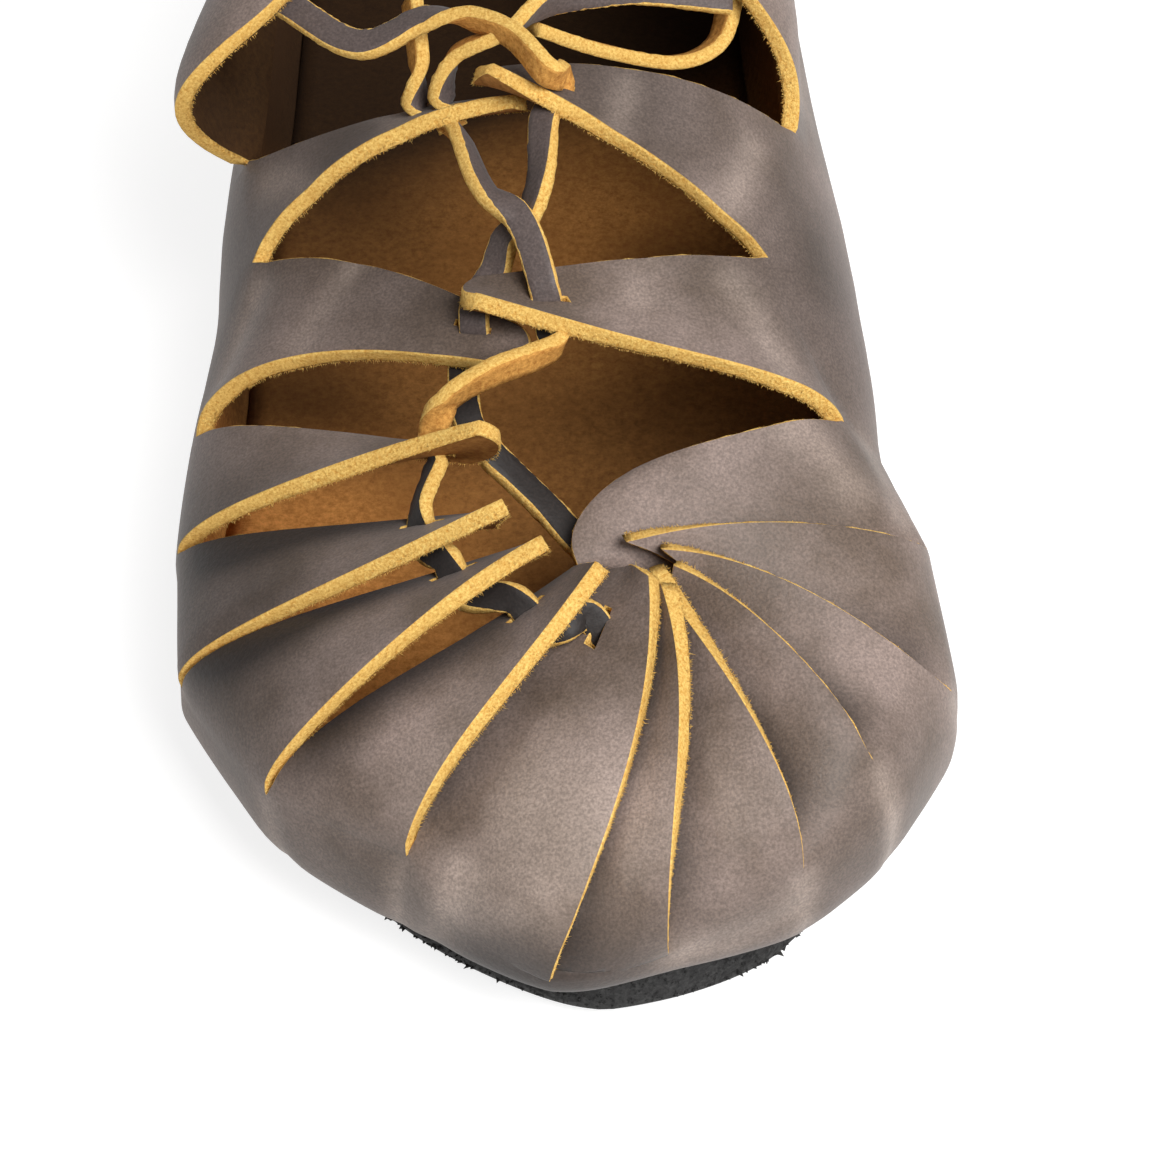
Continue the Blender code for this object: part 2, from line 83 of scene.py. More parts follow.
# Ribs of the last, from the left collar slit over the toe to the right collar slit and
# back round the heel; lengths in millimetres, angles in degrees
RIB_COLUMNS = ("rim_x", "rim_y", "rim_z", "top_x", "top_y", "top_z",
               "tuck", "full", "slit", "collar", "soft")
RIBS = (
    (-50.0, -6.5, 27, -1, -14, 76, 6, 2.0, 24, 54, 0.90),    # left collar slit
    (-51.0, -26.0, 26, 0, -33, 65, 7, 2.0, 29, 0, 0.80),     # left straps A and B
    (-54.0, -48.5, 25, 2, -58, 53, 9, 2.0, 12, 0, 0.55),     # left strap A and strip L1
    (-56.0, -68.5, 24, 2, -73, 48, 8.5, 2.0, 8, 0, 0.25),    # L1 and L2
    (-55.0, -89.0, 23, 4, -81, 45, 11.5, 2.1, -4, 0, 0.25),  # L2 and L3
    (-43.0, -112.3, 23, 7, -86, 43, 10.5, 2.2, 6, 0, 0.40),  # L3 and L4
    (-25.0, -125.5, 18.5, 9, -88, 43, 5.5, 2.2, 16, 0, 0.85),    # L4 and C1
    (-5.5, -138.3, 17.5, 9, -88, 43, 6, 2.2, -6, 0, 0.75),       # C1 and C2
    (10.0, -134.8, 17.5, 9, -88, 43, 2.5, 2.2, -2, 0, 0.45),     # C2 and C3
    (28.5, -129.4, 21.5, 9, -88, 43, 5.5, 2.2, 11, 0, 0.25),     # C3 and R5
    (40.8, -119.6, 24.5, 9, -88, 43, 10, 2.2, 27, 0, 0.25),  # R5 and R4
    (51.6, -97.8, 18.5, 9, -88, 43, 9, 2.2, 16, 0, 0.25),    # R4 and R3
    (49.5, -72.7, 25.5, 8, -84, 44, 7.5, 2.1, 10, 0, 0.25),  # R3 and R2
    (44.0, -56.5, 26, 5, -63, 50, 7, 2.0, 33, 0, 0.80),      # R2 and right strap A
    (43.5, -39.5, 27, 3, -37, 61, 8, 2.0, 52, 0, 0.90),      # right straps A and B
    (41.5, -12.5, 27, 1, -14, 74, 8, 2.0, 37, 56, 1.00),     # right collar slit
    (36.0, 35.0, 28, -3, 35, 97, 9, 2.1, 22, 43, 1.00),      # right ankle and arch
    (32.0, 100.0, 28, -4, 98, 100, 5, 2.1, 20, 42, 1.00),    # right side of the heel
    (19.0, 131.0, 28, -4, 104, 100, 4, 2.1, 20, 42, 1.00),
    (-4.0, 140.0, 28, -4, 104, 100, 4, 2.1, 20, 43, 1.00),   # back of the heel
    (-27.0, 131.0, 28, -4, 104, 100, 4, 2.1, 20, 42, 1.00),
    (-40.0, 100.0, 28, -4, 98, 100, 5, 2.1, 20, 42, 1.00),   # left side of the heel
    (-45.0, 35.0, 28, -4, 35, 97, 6, 2.1, 22, 43, 1.00),     # left ankle
)
RIB_TABLE = np.array(RIBS, float)
RIB_COUNT = len(RIBS)
OUTLINE_STEPS = np.linspace(0.0, RIB_COUNT, 920, endpoint=False)    # rib places of an outline
QUARTER_RIB = 15        # the quarter runs from this rib round the heel to rib 0

# Straps and strips in rib order: shifts, end angles and lifts of their edges, the bow of
# the tip, and the cell across and up that is cut for the lace
STRIPS = (
    # name, left edge (mid, tip, end, low, high, last), right edge, bow, slot
    ("left strap B", (0.32, 0.34, 80, -3.6, -5.5, -3.0), (-0.36, -0.57, 82, 1.5, 2.8, 0.8), 3, (2, 7)),
    ("left strap A", (0.27, 0.71, 78, -3.0, -4.1, -1.3), (-0.21, 0.11, 78, 4.8, -1.0, 0.2), 4, (2, 8)),
    ("L1", (0.34, 0.91, 74, 0.8, -2.9, 0.0), (0.24, 0.03, 76, 2.3, 1.2, 10.3), 3, (2, 8)),
    ("L2", (0.33, 0.79, 76, -0.2, -1.9, 0.8), (0.21, 0.41, 76, 1.7, -1.2, 13.2), 0, (1, 8)),
    ("L3", (0.19, 0.46, 78, 0.8, -1.8, 2.2), (0.08, 0.01, 78, 1.6, 5.3, 11.5), 0, (1, 8)),
    ("L4", (0.00, 0.22, 82, 0.9, -3.8, 2.5), (0.05, 0.25, 80, 6.3, 4.6, 9.3), 0, (1, 8)),
    ("C1", (-0.05, -1.08, 84, -2.0, -3.0, -1.3), (0.12, 1.20, 82, 2.5, 1.2, 5.6), 4, (2, 8)),
    ("C2", (0.22, 0.78, 74, -3.3, -4.4, -3.8), (-0.11, 0.73, 81, 2.6, 1.6, 5.0), 0, None),
    ("C3", (-0.11, 0.31, 74, -3.2, -5.4, -5.6), (0.13, 0.06, 87, 1.9, 1.4, 2.4), 0, None),
    ("R5", (0.23, -0.30, 79, -3.5, -6.8, -7.6), (0.03, 0.56, 85, 1.6, 0.9, 2.4), 1, None),
    ("R4", (0.07, 0.14, 74, -3.0, -4.2, -5.4), (-0.37, 0.46, 87, 1.2, 1.5, 1.8), 0, None),
    ("R3", (-0.33, 0.04, 76, -2.8, -4.2, -5.9), (-0.32, 0.00, 92, 1.1, 1.9, 0.9), 0, None),
    ("R2", (-0.26, -0.42, 80, -2.5, -4.0, -6.0), (-0.29, -0.46, 87, 0.9, 2.1, -2.4), 17, None),
    ("right strap A", (0.02, 0.49, 112, 7.4, 2.4, 8.0), (-0.30, -0.28, 113, 1.8, -0.6, 2.6), 3, (2, 7)),
    ("right strap B", (0.30, 0.83, 104, 2.2, 4.2, 8.5), (-0.14, -0.07, 105, 0.1, 1.1, 1.4), 3, (2, 7)),
)
STRIP_NAMES = [row[0] for row in STRIPS]
COLLAR_RIGHT = (0.16, 0.25, 56, 6.6, 5.2, 5.7)
COLLAR_LEFT = (0.38, -0.21, 54, 23.5, 22.4, 13.2)
COLLAR_SPREAD = 0.16

# Coarse rows and columns of the frame's leather; each is split for the smooth skin
STRIP_ACROSS = 5
STRIP_STEPS = (0.0, 0.07, 0.16, 0.27, 0.39, 0.51, 0.63, 0.73, 0.82, 0.91, 1.0)
STRIP_SPLIT = 4         # columns and rows of the skin for each coarse one
QUARTER_ACROSS = 14     # columns of the quarter for each rib
QUARTER_ROWS = 24
WALL_ROWS = 22
MARGIN_ROWS = 4
WALL_ANGLES = np.linspace(-85.0, 0.0, 86)   # angles tried to find a height on the wall
# Small moves that give a surface's normal: rib steps, degrees, and shares of a strip
STEP_APART = 0.02
ANGLE_APART = 0.5
PATCH_APART = 0.02

# Creases of worn leather: a line from one rib place and angle to another, the half width
# and depth of its trough in millimetres (a ridge where the depth is below zero)
CREASES = (
    (0.35, 33, 0.85, 47, 3.0, 0.5),       # left strap B, bend above its root
    (0.30, 60, 0.75, 66, 2.4, 0.4),
    (1.25, 30, 1.75, 24, 3.2, 0.6),       # left strap A, bend over the rim
    (1.35, 52, 1.80, 45, 2.6, 0.35),
    (13.2, 52, 13.7, 62, 3.0, 0.45),      # right strap A, near its root
    (13.5, 82, 13.9, 78, 2.4, 0.35),      # right strap A, beside its slot
    (14.2, 62, 14.7, 52, 3.0, 0.5),       # right strap B, near its root
    (14.5, 84, 14.8, 80, 2.2, 0.35),
    (12.3, 40, 12.8, 52, 4.0, -0.5),      # soft ridge of the smooth lobe beside the gather
    (12.2, 20, 12.9, 22, 3.0, 0.5),       # inner ball of the foot
    (15.3, 30, 15.9, 36, 4.0, 0.6),       # right ankle
    (15.6, 5, 16.6, 12, 5.0, 0.7),        # arch
    (22.2, 34, 22.8, 28, 4.0, 0.6),       # left ankle
    (6.3, 12, 6.9, 22, 4.5, -0.6),        # toe wall under strip C1
    (6.2, -30, 6.4, 20, 3.0, 0.5),
    (8.1, -20, 8.9, -12, 3.5, 0.5),       # toe wall under strips C3 and R5
    (3.2, -10, 3.9, -4, 4.0, 0.6),        # outer ball of the foot
    (5.0, 0, 5.05, -45, 2.4, 0.5),        # folds that run on below the slits
    (6.0, 10, 5.95, -40, 2.2, 0.5),
    (9.0, 6, 9.05, -40, 2.2, 0.5),
    (10.0, 20, 10.05, -35, 2.4, 0.6),
    (11.0, 10, 11.05, -35, 2.6, 0.6),
    (17.4, 8, 18.6, 14, 5.0, 0.5),        # heel
    (20.4, 14, 21.5, 6, 5.0, 0.5),
)
CREASE_POINTS = 8               # points of a crease's line
CREASE_START = (0.05, 0.3)      # creases come in over this share of the wall

# Painted light and shade of the grain: rib place, angle and radius in millimetres of a cloud,
# and its tone (above zero paler, as painted light, below zero darker, as painted shade)
GRAIN_LIGHT_AND_SHADE = (
    (0.4, 24, 22, -0.45),     # left strap B
    (0.5, 62, 18, -0.40),
    (13.4, 34, 22, -0.30),    # right straps A and B
    (14.3, 30, 20, -0.45),
    (14.8, 80, 20, -0.60),
    (1.4, 28, 16, -0.15),     # left strap A
    (1.6, 62, 14, -0.45),
    (2.4, 8, 14, -0.20),      # strips L1, L2 and L3
    (3.4, 30, 17, -0.40),
    (4.4, 34, 16, -0.30),
    (5.5, 26, 13, 0.10),      # strip L4
    (6.6, 30, 16, 0.70),      # strip C1
    (6.5, -16, 15, -0.50),
    (7.6, 28, 13, 0.30),      # strip C2
    (8.6, 34, 13, 0.35),      # strip C3
    (11.5, 34, 16, 0.10),     # right side of the gather
    (7.0, -24, 16, -0.20),    # toe wall above the sole
    (7.4, -42, 24, -0.65),
    (5.4, -30, 20, -0.30),
    (9.6, -30, 20, -0.40),
    (3.6, -20, 20, -0.30),
    (11.5, -20, 20, -0.15),
)
TUCKED_STRIPS = range(3, 12)    # strips L2 to R3 lie under the one before at their left edge
TUCK_SHADE = -0.85               # painted shade on the part that lies under the strip before
TUCK_WIDE = 0.55                # share of the width that it fades over
TUCK_RISE = 0.35                # share of the height that it comes in over
# Painted light and shade of the flesh side and the insole: place in millimetres, radius,
# and change of value
INNER_LIGHT_AND_SHADE = (
    ((-48, -62, 30), 22, 0.95),     # outer side of the toe, painted light
    ((-40, -86, 20), 26, 0.75),
    ((-22, -92, 14), 26, 0.55),
    ((-35, -52, 14), 14, 0.70),
    ((6, 20, 14), 26, 0.95),        # middle of the insole
    ((5, -38, 14), 22, -0.15),
    ((18, -62, 14), 30, -0.35),
    ((-41, -25, 20), 15, -0.50),
    ((-40, 28, 40), 36, -0.85),     # painted shade on the sides of the ankle and heel
    ((31, 14, 45), 24, -0.65),
    ((0, 76, 16), 48, -0.85),
    ((0, 122, 20), 44, -0.70),
    ((-25, 56, 14), 32, -0.50),
    ((14, 64, 14), 30, -0.50),
    ((-50, -14, 62), 26, -0.75),    # painted shade in the flared corner of the collar
)
INNER_LIGHT_AND_SHADE_RANGE = (-0.92, 1.1)
# Pressed ring on right strap A: rib place, angle, radius, half width and depth
RING_MARK = (13.55, 76, 3.0, 0.7, 0.22)
# Slow unevenness of all the leather: waves along x, y and z, each with its phase
SWAYS = (((0.11, 0.07, 0.16), 0), ((-0.06, 0.13, 0.1), 2))
SWAY_HEIGHT = 0.12

# Strands of the lace. A stop on a strip names it and gives the place across and up it, the
# height of the thong's middle above the leather's middle, and its turn in degrees: 0 with
# the grain out, 180 with the flesh out. A free stop gives x, y, z and the turn.
TOE_THONG = (
    (("right strap A", 0.44, 0.785, -2.3, 0), ("right strap A", 0.20, 0.80, -2.5, 40),
     ("right strap A", 0.03, 0.81, -2.9, 80), (-5.4, -60.0, 56.2, 115), (-11.5, -64.2, 57.3, 115),
     (-17.6, -67.0, 54.9, 105), ("L1", 0.47, 0.865, 2.3, 90), ("L1", 0.53, 0.865, -2.2, 40),
     ("L2", 0.22, 0.865, 2.7, 45), ("L2", 0.34, 0.865, -2.2, 15),
     ("L3", 0.22, 0.865, 2.9, 62), ("L3", 0.34, 0.865, -2.2, 15),
     ("L4", 0.22, 0.865, 2.9, 65), ("L4", 0.34, 0.865, -2.2, 15), ("L4", 0.66, 0.87, -2.6, 62),
     ("C1", 0.40, 0.865, 2.8, 62), ("C1", 0.49, 0.865, -0.8, 20), ("C1", 0.52, 0.865, -3.2, 0)),
)
GATHER_LACE = (
    (("R2", 0.62, 0.90, -3.0, 0), ("R2", 0.50, 0.94, -3.1, 15), (-5.0, -73.2, 41.0, 25),
     (-9.0, -69.7, 43.2, 25), (-11.8, -68.0, 45.6, 20), (-14.6, -63.5, 46.8, 10),
     ("left strap A", 0.80, 0.86, -2.6, 0), ("left strap A", 0.60, 0.85, -2.4, 0)),
)
CROSSED_LACE = (
    (("left strap B", 0.48, 0.765, -2.6, -60), ("left strap B", 0.85, 0.80, -2.6, -65),
     (-11.5, -36.0, 66.0, -55), (-6.8, -41.0, 65.0, 5),
     ("right strap A", 0.56, 0.79, 2.3, 25), ("right strap A", 0.45, 0.785, -2.2, 10)),
    (("right strap B", 0.45, 0.78, -2.3, 20), ("right strap B", 0.10, 0.80, -2.6, 45),
     (-3.8, -36.0, 67.5, 50), (-6.0, -39.5, 63.3, 45), (-8.8, -40.6, 61.0, 30),
     (-10.3, -43.2, 57.6, 20), (-12.9, -46.8, 55.6, 10), ("left strap A", 0.47, 0.87, 2.1, 0),
     ("left strap A", 0.58, 0.87, -2.2, 0)),
)
TOP_LACE = (
    (("right strap B", 0.44, 0.775, -1.2, 120), ("right strap B", 0.52, 0.775, 2.3, 120),
     (-2.5, -25.6, 79.0, 115), (-7.0, -19.6, 80.6, 110), (-12.8, -15.2, 80.3, 100),
     (-19.3, -13.4, 79.0, 30), (-28.4, -14.6, 75.5, 10), (-39.6, -4.6, 75.2, 0)),
    (("left strap B", 0.56, 0.775, -2.2, 160), ("left strap B", 0.44, 0.765, 2.4, 130),
     (-15.5, -16.5, 74.5, 115), (-8.6, -16.6, 78.5, 110), (-2.2, -10.5, 79.0, 70),
     (10.0, -6.0, 77.5, 20), (24.8, -3.8, 73.5, 0)),
    (("left strap B", 0.26, 0.69, -1.2, 115), ("left strap B", 0.24, 0.69, 2.3, 115),
     (-20.5, -14.2, 71.5, 110), (-20.9, -10.2, 74.5, 110), (-21.3, -5.0, 76.0, 110)),
)
LOOP_STOPS = ((-4.0, -12.0, 75.8, 115), (5.7, -10.2, 70.0, 115), (17.4, -8.4, 66.0, 115),
              (23.0, -4.8, 66.5, 120), (25.4, 1.0, 71.0, 130))
OPEN_FACE = np.array([0.0, -0.5, 0.87])   # where the broad side of a free strand looks
CURVE_POINTS = 24       # points of a strand's curve between two stops
STRAND_SPACING = 0.7    # millimetres between the rings of a strand
FEWEST_RINGS = 8

# Camera of the picture: its place in millimetres and its turn in degrees
CAMERA_PLACE = (-12.11, -520.76, 487.09)
CAMERA_PITCH = 46.0
CAMERA_YAW = 2.0
SENSOR_WIDE = 36.0
# Studio in metres: the floor, the end of the view, and the lights and what they look at
FLOOR_HALF = 3.0
VIEW_END = 20.0
KEY_PLACE = (0.45, -0.66, 0.95)
KEY_SIZE = 0.7
BACK_PLACE = (0.15, 0.9, 0.9)
BACK_SIZE = 0.8
LIT_PLACE = (0.0, -0.05, 0.03)

GRAIN, FLESH, CUT = range(3)    # finishes of the faces of the leather and the thong
# Seeds of what is uneven by chance
SEEDS = {"cut edge": 11, "lace": 7, "loop": 9, "sole edge": 5, "crumbs": 11, "fibres": 3}


def linear(code):
    """Linear colour from an sRGB hex value."""
    values = np.array([int(code[k:k + 2], 16) for k in (0, 2, 4)]) / 255.0
    return tuple(np.where(values <= 0.04045, values / 12.92, ((values + 0.055) / 1.055) ** 2.4))


def colour_property(name, description, code):
    """Colour setting with an sRGB hex default."""
    return FloatVectorProperty(name=name, description=description, subtype="COLOR",
                               size=3, min=0.0, max=1.0, default=linear(code))


def length_property(name, description, millimetres, precision=5):
    """Length setting with a default in millimetres."""
    return FloatProperty(name=name, description=description, default=millimetres * MM,
                         unit="LENGTH", subtype="DISTANCE", precision=precision)


class LeatherSettings(bpy.types.PropertyGroup):
    """Leather of the upper."""
    grain: colour_property("Grain", "Shaded grain side", "7A6B64")
    grain_dark: colour_property("Oil patches", "Darker patches of the grain side", "55483F")
    # The deep tint is painted shade of grain under strips and in shadow; the pull-up tint is also
    # painted light.
    grain_shade: colour_property("Painted shade", "Grain that lies under another strip", "211A17")
    grain_light: colour_property("Pull-up and painted light", "Lighter grain where the leather is bent", "A6968B")
    flesh: colour_property("Flesh side", "Tan flesh side", "AE7A40")
    flesh_dark: colour_property("Flesh shade", "Darker flesh fibres", "74491F")
    edge: colour_property("Cut edge", "Raw cut edge", "C98B36")
    edge_light: colour_property("Edge fibres", "Light fibres of the cut edge", "FFDC82")
    bulge: length_property("Edge bulge", "How far the cut edge stands out", 0.22)
    roughness: length_property("Edge roughness", "Unevenness of the cut edge", 0.05)
    fibres: IntProperty(name="Fibres", description="Loose fibres on all cut edges",
                        default=34000, min=0, max=45000)
    fibre_length: length_property("Fibre length", "Usual length of a loose fibre", 0.36)


class LaceSettings(bpy.types.PropertyGroup):
    """Flat thong of the lace."""
    width: length_property("Width", "Width of the thong", THONG_WIDE, precision=4)
    thickness: length_property("Thickness", "Thickness of the thong", THONG_THICK, precision=4)
    grain: colour_property("Grain", "Grain side of the thong", "4A403D")
    grain_light: colour_property("Worn grain", "Worn grain of the thong", "6E625C")
    flesh: colour_property("Flesh side", "Flesh side of the thong", "DEA656")
    flesh_dark: colour_property("Flesh shade", "Darker tufts of the thong's flesh side", "9A6228")
    # The two toe tints below are painted shade: a darker copy of the thong's grain where it runs in
    # shadow.
    oiled: colour_property("Shaded grain", "Dark grain of the thong in the toe", "1F1A18")
    shaded_grain_light: colour_property("Shaded wear", "Worn grain of the thong in the toe", "3A322F")


class SoleSettings(bpy.types.PropertyGroup):
    """Insole and outsole."""
    rubber: colour_property("Rubber", "Crepe rubber", "1E1D1D")
    rubber_light: colour_property("Rubber crumbs", "Lighter crumbs of the rubber", "3A3938")
    crumb: length_property("Crumb", "Relief of the rough sole edge", 0.15)
    crumbs: IntProperty(name="Crumbs", description="Crumbs that stand out from the sole's edge",
                        default=12000, min=0)
    suede: colour_property("Suede", "Tan suede of the insole", "A8743C")
    suede_dark: colour_property("Suede shade", "Darker suede", "774C22")


class StudioSettings(bpy.types.PropertyGroup):
    """Floor, lights and camera."""
    floor: colour_property("Floor", "Paper of the floor, lit from below", "A6A6A5")
    floor_light: colour_property("Floor light", "Light that the floor gives", "FFFFFF")
    glow: FloatProperty(name="Floor glow", description="Light of the floor, a lit table",
                        default=0.82, min=0.0)
    key: FloatProperty(name="Key light", description="Power of the large soft light",
                       default=22.0, min=0.0, subtype="POWER")
    back: FloatProperty(name="Back light", description="Power of the light behind the shoe",
                        default=2.5, min=0.0, subtype="POWER")
    sky: FloatProperty(name="Room light", description="Strength of the light all round",
                       default=0.12, min=0.0)
    lens: FloatProperty(name="Lens", description="Focal length in millimetres on a 36 mm frame",
                        default=139.3, min=10.0)


def ease(value, start, stop):
    """Smooth step from 0 at start to 1 at stop."""
    part = np.clip((value - start) / (stop - start), 0.0, 1.0)
    return part * part * (3.0 - 2.0 * part)


def unit(vectors):
    """Vectors of length one."""
    return vectors / np.maximum(np.linalg.norm(vectors, axis=-1, keepdims=True), 1e-9)


def sole_rise(y):
    """Height the sole is bent up by at y: toe spring and the hollow of the waist."""
    spring = TOE_SPRING * np.clip((SPRING_Y - y) / SPRING_RUN, 0.0, None) ** 2
    waist = np.clip(np.abs(y - ARCH_Y) / ARCH_HALF, 0.0, 1.0)
    return spring + ARCH_RISE * np.cos(waist * np.pi / 2) ** 2


def curve_between(before, here, after, beyond, part):
    """Smooth curve from here to after, led by the values before and beyond them."""
    return here + 0.5 * part * (after - before + part * (
        2 * before - 5 * here + 4 * after - beyond
        + part * (3 * here - before - 3 * after + beyond)))


def rib(step, soft=None):
    """Rib columns at any place between two ribs, with their own roundness or a given one."""
    step = np.asarray(step, float)
    index = np.floor(step).astype(int)
    part = (step - index)[..., None]
    before, here, after, beyond = (RIB_TABLE[(index + k) % RIB_COUNT] for k in (-1, 0, 1, 2))
    straight = here + (after - here) * part
    curve = curve_between(before, here, after, beyond, part)
    if soft is None:
        soft = here[..., -1:]
    mixed = straight + (curve - straight) * soft
    columns = {name: mixed[..., k] for k, name in enumerate(RIB_COLUMNS)}
    for name in ("slit", "collar"):
        columns[name] = straight[..., RIB_COLUMNS.index(name)]
    return columns


def rib_run(row):
    """Run of a rib from its top to its rim: along x, along y, and its length."""
    run_x = row["rim_x"] - row["top_x"]
    run_y = row["rim_y"] - row["top_y"]
    return run_x, run_y, np.hypot(run_x, run_y)


def last_point(step, angle):
    """Point of the last's surface on a rib: 0 degrees at the rim, 90 at the top,
    -90 where the wall turns under at the sole."""
    row = rib(step)
    angle = np.asarray(angle, float)
    run_x, run_y, run = rib_run(row)
    run_x, run_y = run_x / run, run_y / run
    cosine, sine = np.cos(np.radians(angle)), np.sin(np.radians(angle))
    power = 2.0 / row["full"]
    upper_run = run * np.sign(cosine) * np.abs(cosine) ** power
    upper_z = row["rim_z"] + (row["top_z"] - row["rim_z"]) * np.abs(sine) ** power
    foot = FEATHER_Z + sole_rise(row["top_y"] + run_y * (run - row["tuck"]))
    lower_run = run - row["tuck"] * (1.0 - cosine) ** TURN_UNDER
    lower_z = row["rim_z"] + (row["rim_z"] - foot) * sine
    out = np.where(angle >= 0.0, upper_run, lower_run)
    height = np.where(angle >= 0.0, upper_z, lower_z)
    return np.stack([row["top_x"] + run_x * out, row["top_y"] + run_y * out, height], -1)


def last_normal(step, angle):
    """Outward normal of the last's surface."""
    along = last_point(step + STEP_APART, angle) - last_point(step - STEP_APART, angle)
    up = last_point(step, angle + ANGLE_APART) - last_point(step, angle - ANGLE_APART)
    return unit(np.cross(along, up))


def margin_point(step, inset, soft=None):
    """Point of the turned-in margin, inset from the line where the wall turns under."""
    row = rib(step, soft)
    run_x, run_y, run = rib_run(row)
    out = (run - row["tuck"] - inset) / run
    x, y = row["top_x"] + run_x * out, row["top_y"] + run_y * out
    return np.stack([x, y, FEATHER_Z + sole_rise(y)], -1)


def line_distance(points, line):
    """Distance of points from a line of joined points."""
    nearest = np.full(len(points), 1e9)
    for start, end in zip(line[:-1], line[1:]):
        along = end - start
        share = np.clip((points - start) @ along / (along @ along), 0.0, 1.0)
        away = np.linalg.norm(points - start - share[:, None] * along, axis=1)
        nearest = np.minimum(nearest, away)
    return nearest


def creases(step, angle):
    """Height of the creases on the last, and how far the leather is bent there."""
    places = last_point(step, angle).reshape(-1, 3)
    height = np.zeros(len(places))
    bent = np.zeros(len(places))
    share = np.linspace(0.0, 1.0, CREASE_POINTS)
    for step_a, angle_a, step_b, angle_b, half, depth in CREASES:
        line = last_point(step_a + (step_b - step_a) * share, angle_a + (angle_b - angle_a) * share)
        trough = np.exp(-(line_distance(places, line) / half) ** 2)
        height -= depth * trough
        bent += np.abs(depth) * trough
    place, turn, radius, half, depth = RING_MARK
    away = np.linalg.norm(places - last_point(place, turn), axis=1)
    height -= depth * np.exp(-((away - radius) / half) ** 2)
    height += SWAY_HEIGHT * sum(np.sin(places @ np.array(wave) + phase) for wave, phase in SWAYS)
    return height.reshape(np.shape(step)), bent.reshape(np.shape(step))


def clouds(points, rows):
    """Tone at points from soft round clouds, each a row of middle, radius and strength."""
    tone = np.zeros(len(points))
    for middle, radius, strength in rows:
        tone += strength * np.exp(-(np.linalg.norm(points - middle, axis=1) / radius) ** 2)
    return tone


def painted_light_and_shade(points):
    """Painted light and shade of the grain at points of the leather."""
    return clouds(points, [(last_point(step, angle), radius, strength)
                           for step, angle, radius, strength in GRAIN_LIGHT_AND_SHADE])


def inner_light_and_shade(points):
    """Painted light and shade of the flesh side and the insole at points."""
    return np.clip(clouds(points, INNER_LIGHT_AND_SHADE), *INNER_LIGHT_AND_SHADE_RANGE)


def edge_shift(edge, up):
    """Shift of a strip's edge along the ribs at a height share up."""
    mid, tip = edge[:2]
    return 2 * up * (1 - up) * mid + up * up * tip


def edge_lift(edge, up):
    """Lift of a strip's edge off the last at a height share up."""
    low, high, last = edge[3:]
    return 3 * up * (1 - up) ** 2 * low + 3 * up * up * (1 - up) * high + up ** 3 * last


def slit_gap(index):
    """Half opening of the slit at a rib, in rib steps."""
    return TIGHT_GAP if index in TIGHT_SLITS else SLIT_GAP


def strip_place(index, across, up):
    """Rib place, angle and lift of a strip or strap; across and up run from 0 to 1."""
    left, right, bow = STRIPS[index][1:4]
    opened = np.clip(up / SLIT_OPENS, 0.0, 1.0)
    left_step = index + edge_shift(left, up) + slit_gap(index) * opened
    right_step = index + 1 + edge_shift(right, up) - slit_gap(index + 1) * opened
    step = left_step + (right_step - left_step) * across
    root = rib(index + across)["slit"]
    left_end, right_end = left[2], right[2]
    bowed = bow * (1 - np.abs(2 * across - 1) ** TIP_POWER)
    end = left_end + (right_end - left_end) * across + bowed
    angle = root + (end - root) * up
    return step, angle, edge_lift(left, up) * (1 - across) + edge_lift(right, up) * across


def quarter_place(across, up):
    """Rib place, angle and lift of the quarter, from the right collar slit round the heel."""
    near_right = 1 - ease(across, 0.0, COLLAR_SPREAD)
    near_left = ease(across, 1 - COLLAR_SPREAD, 1.0)
    notch = SLIT_GAP * np.clip(up / NOTCH_OPENS, 0.0, 1.0) * (near_right - near_left)
    place = QUARTER_RIB + (RIB_COUNT - QUARTER_RIB) * across
    step = place + notch + edge_shift(COLLAR_RIGHT, up) * near_right
    step = step + edge_shift(COLLAR_LEFT, up) * near_left
    row = rib(place)
    angle = row["slit"] + (row["collar"] - row["slit"]) * up
    lift = edge_lift(COLLAR_RIGHT, up) * near_right + edge_lift(COLLAR_LEFT, up) * near_left
    return step, angle, lift


def lifted(step, angle, lift):
    """Point of the last lifted along its normal."""
    return last_point(step, angle) + last_normal(step, angle) * lift[..., None]


class Sheet:
    """Middle of the upper's leather as rows of points with four-sided cells."""

    def __init__(self):
        self.points, self.bent, self.tone, self.cells = [], [], [], []
        self.used = 0

    def add_row(self, points, bent, tone=0.0):
        """Add a row of points with their bend and tone, and give their numbers."""
        self.points.append(points)
        self.bent.append(bent)
        self.tone.append(np.zeros(len(points)) + tone)
        self.used += len(points)
        return list(range(self.used - len(points), self.used))

    def join(self, below, here, keep=None):
        """Add the cells between two rows, except those that a slot takes."""
        for c in range(len(below) - 1):
            if keep is None or keep(c):
                self.cells.append((below[c], below[c + 1], here[c + 1], here[c]))


def in_slot(slot, column, row):
    """Whether a cell of the skin lies in a lace slot: the middle half of a coarse cell."""
    if slot is None:
        return False
    across, up = slot
    return (abs(column + 0.5 - (across + 0.5) * STRIP_SPLIT) < STRIP_SPLIT / 4
            and up * STRIP_SPLIT <= row < (up + 1) * STRIP_SPLIT)


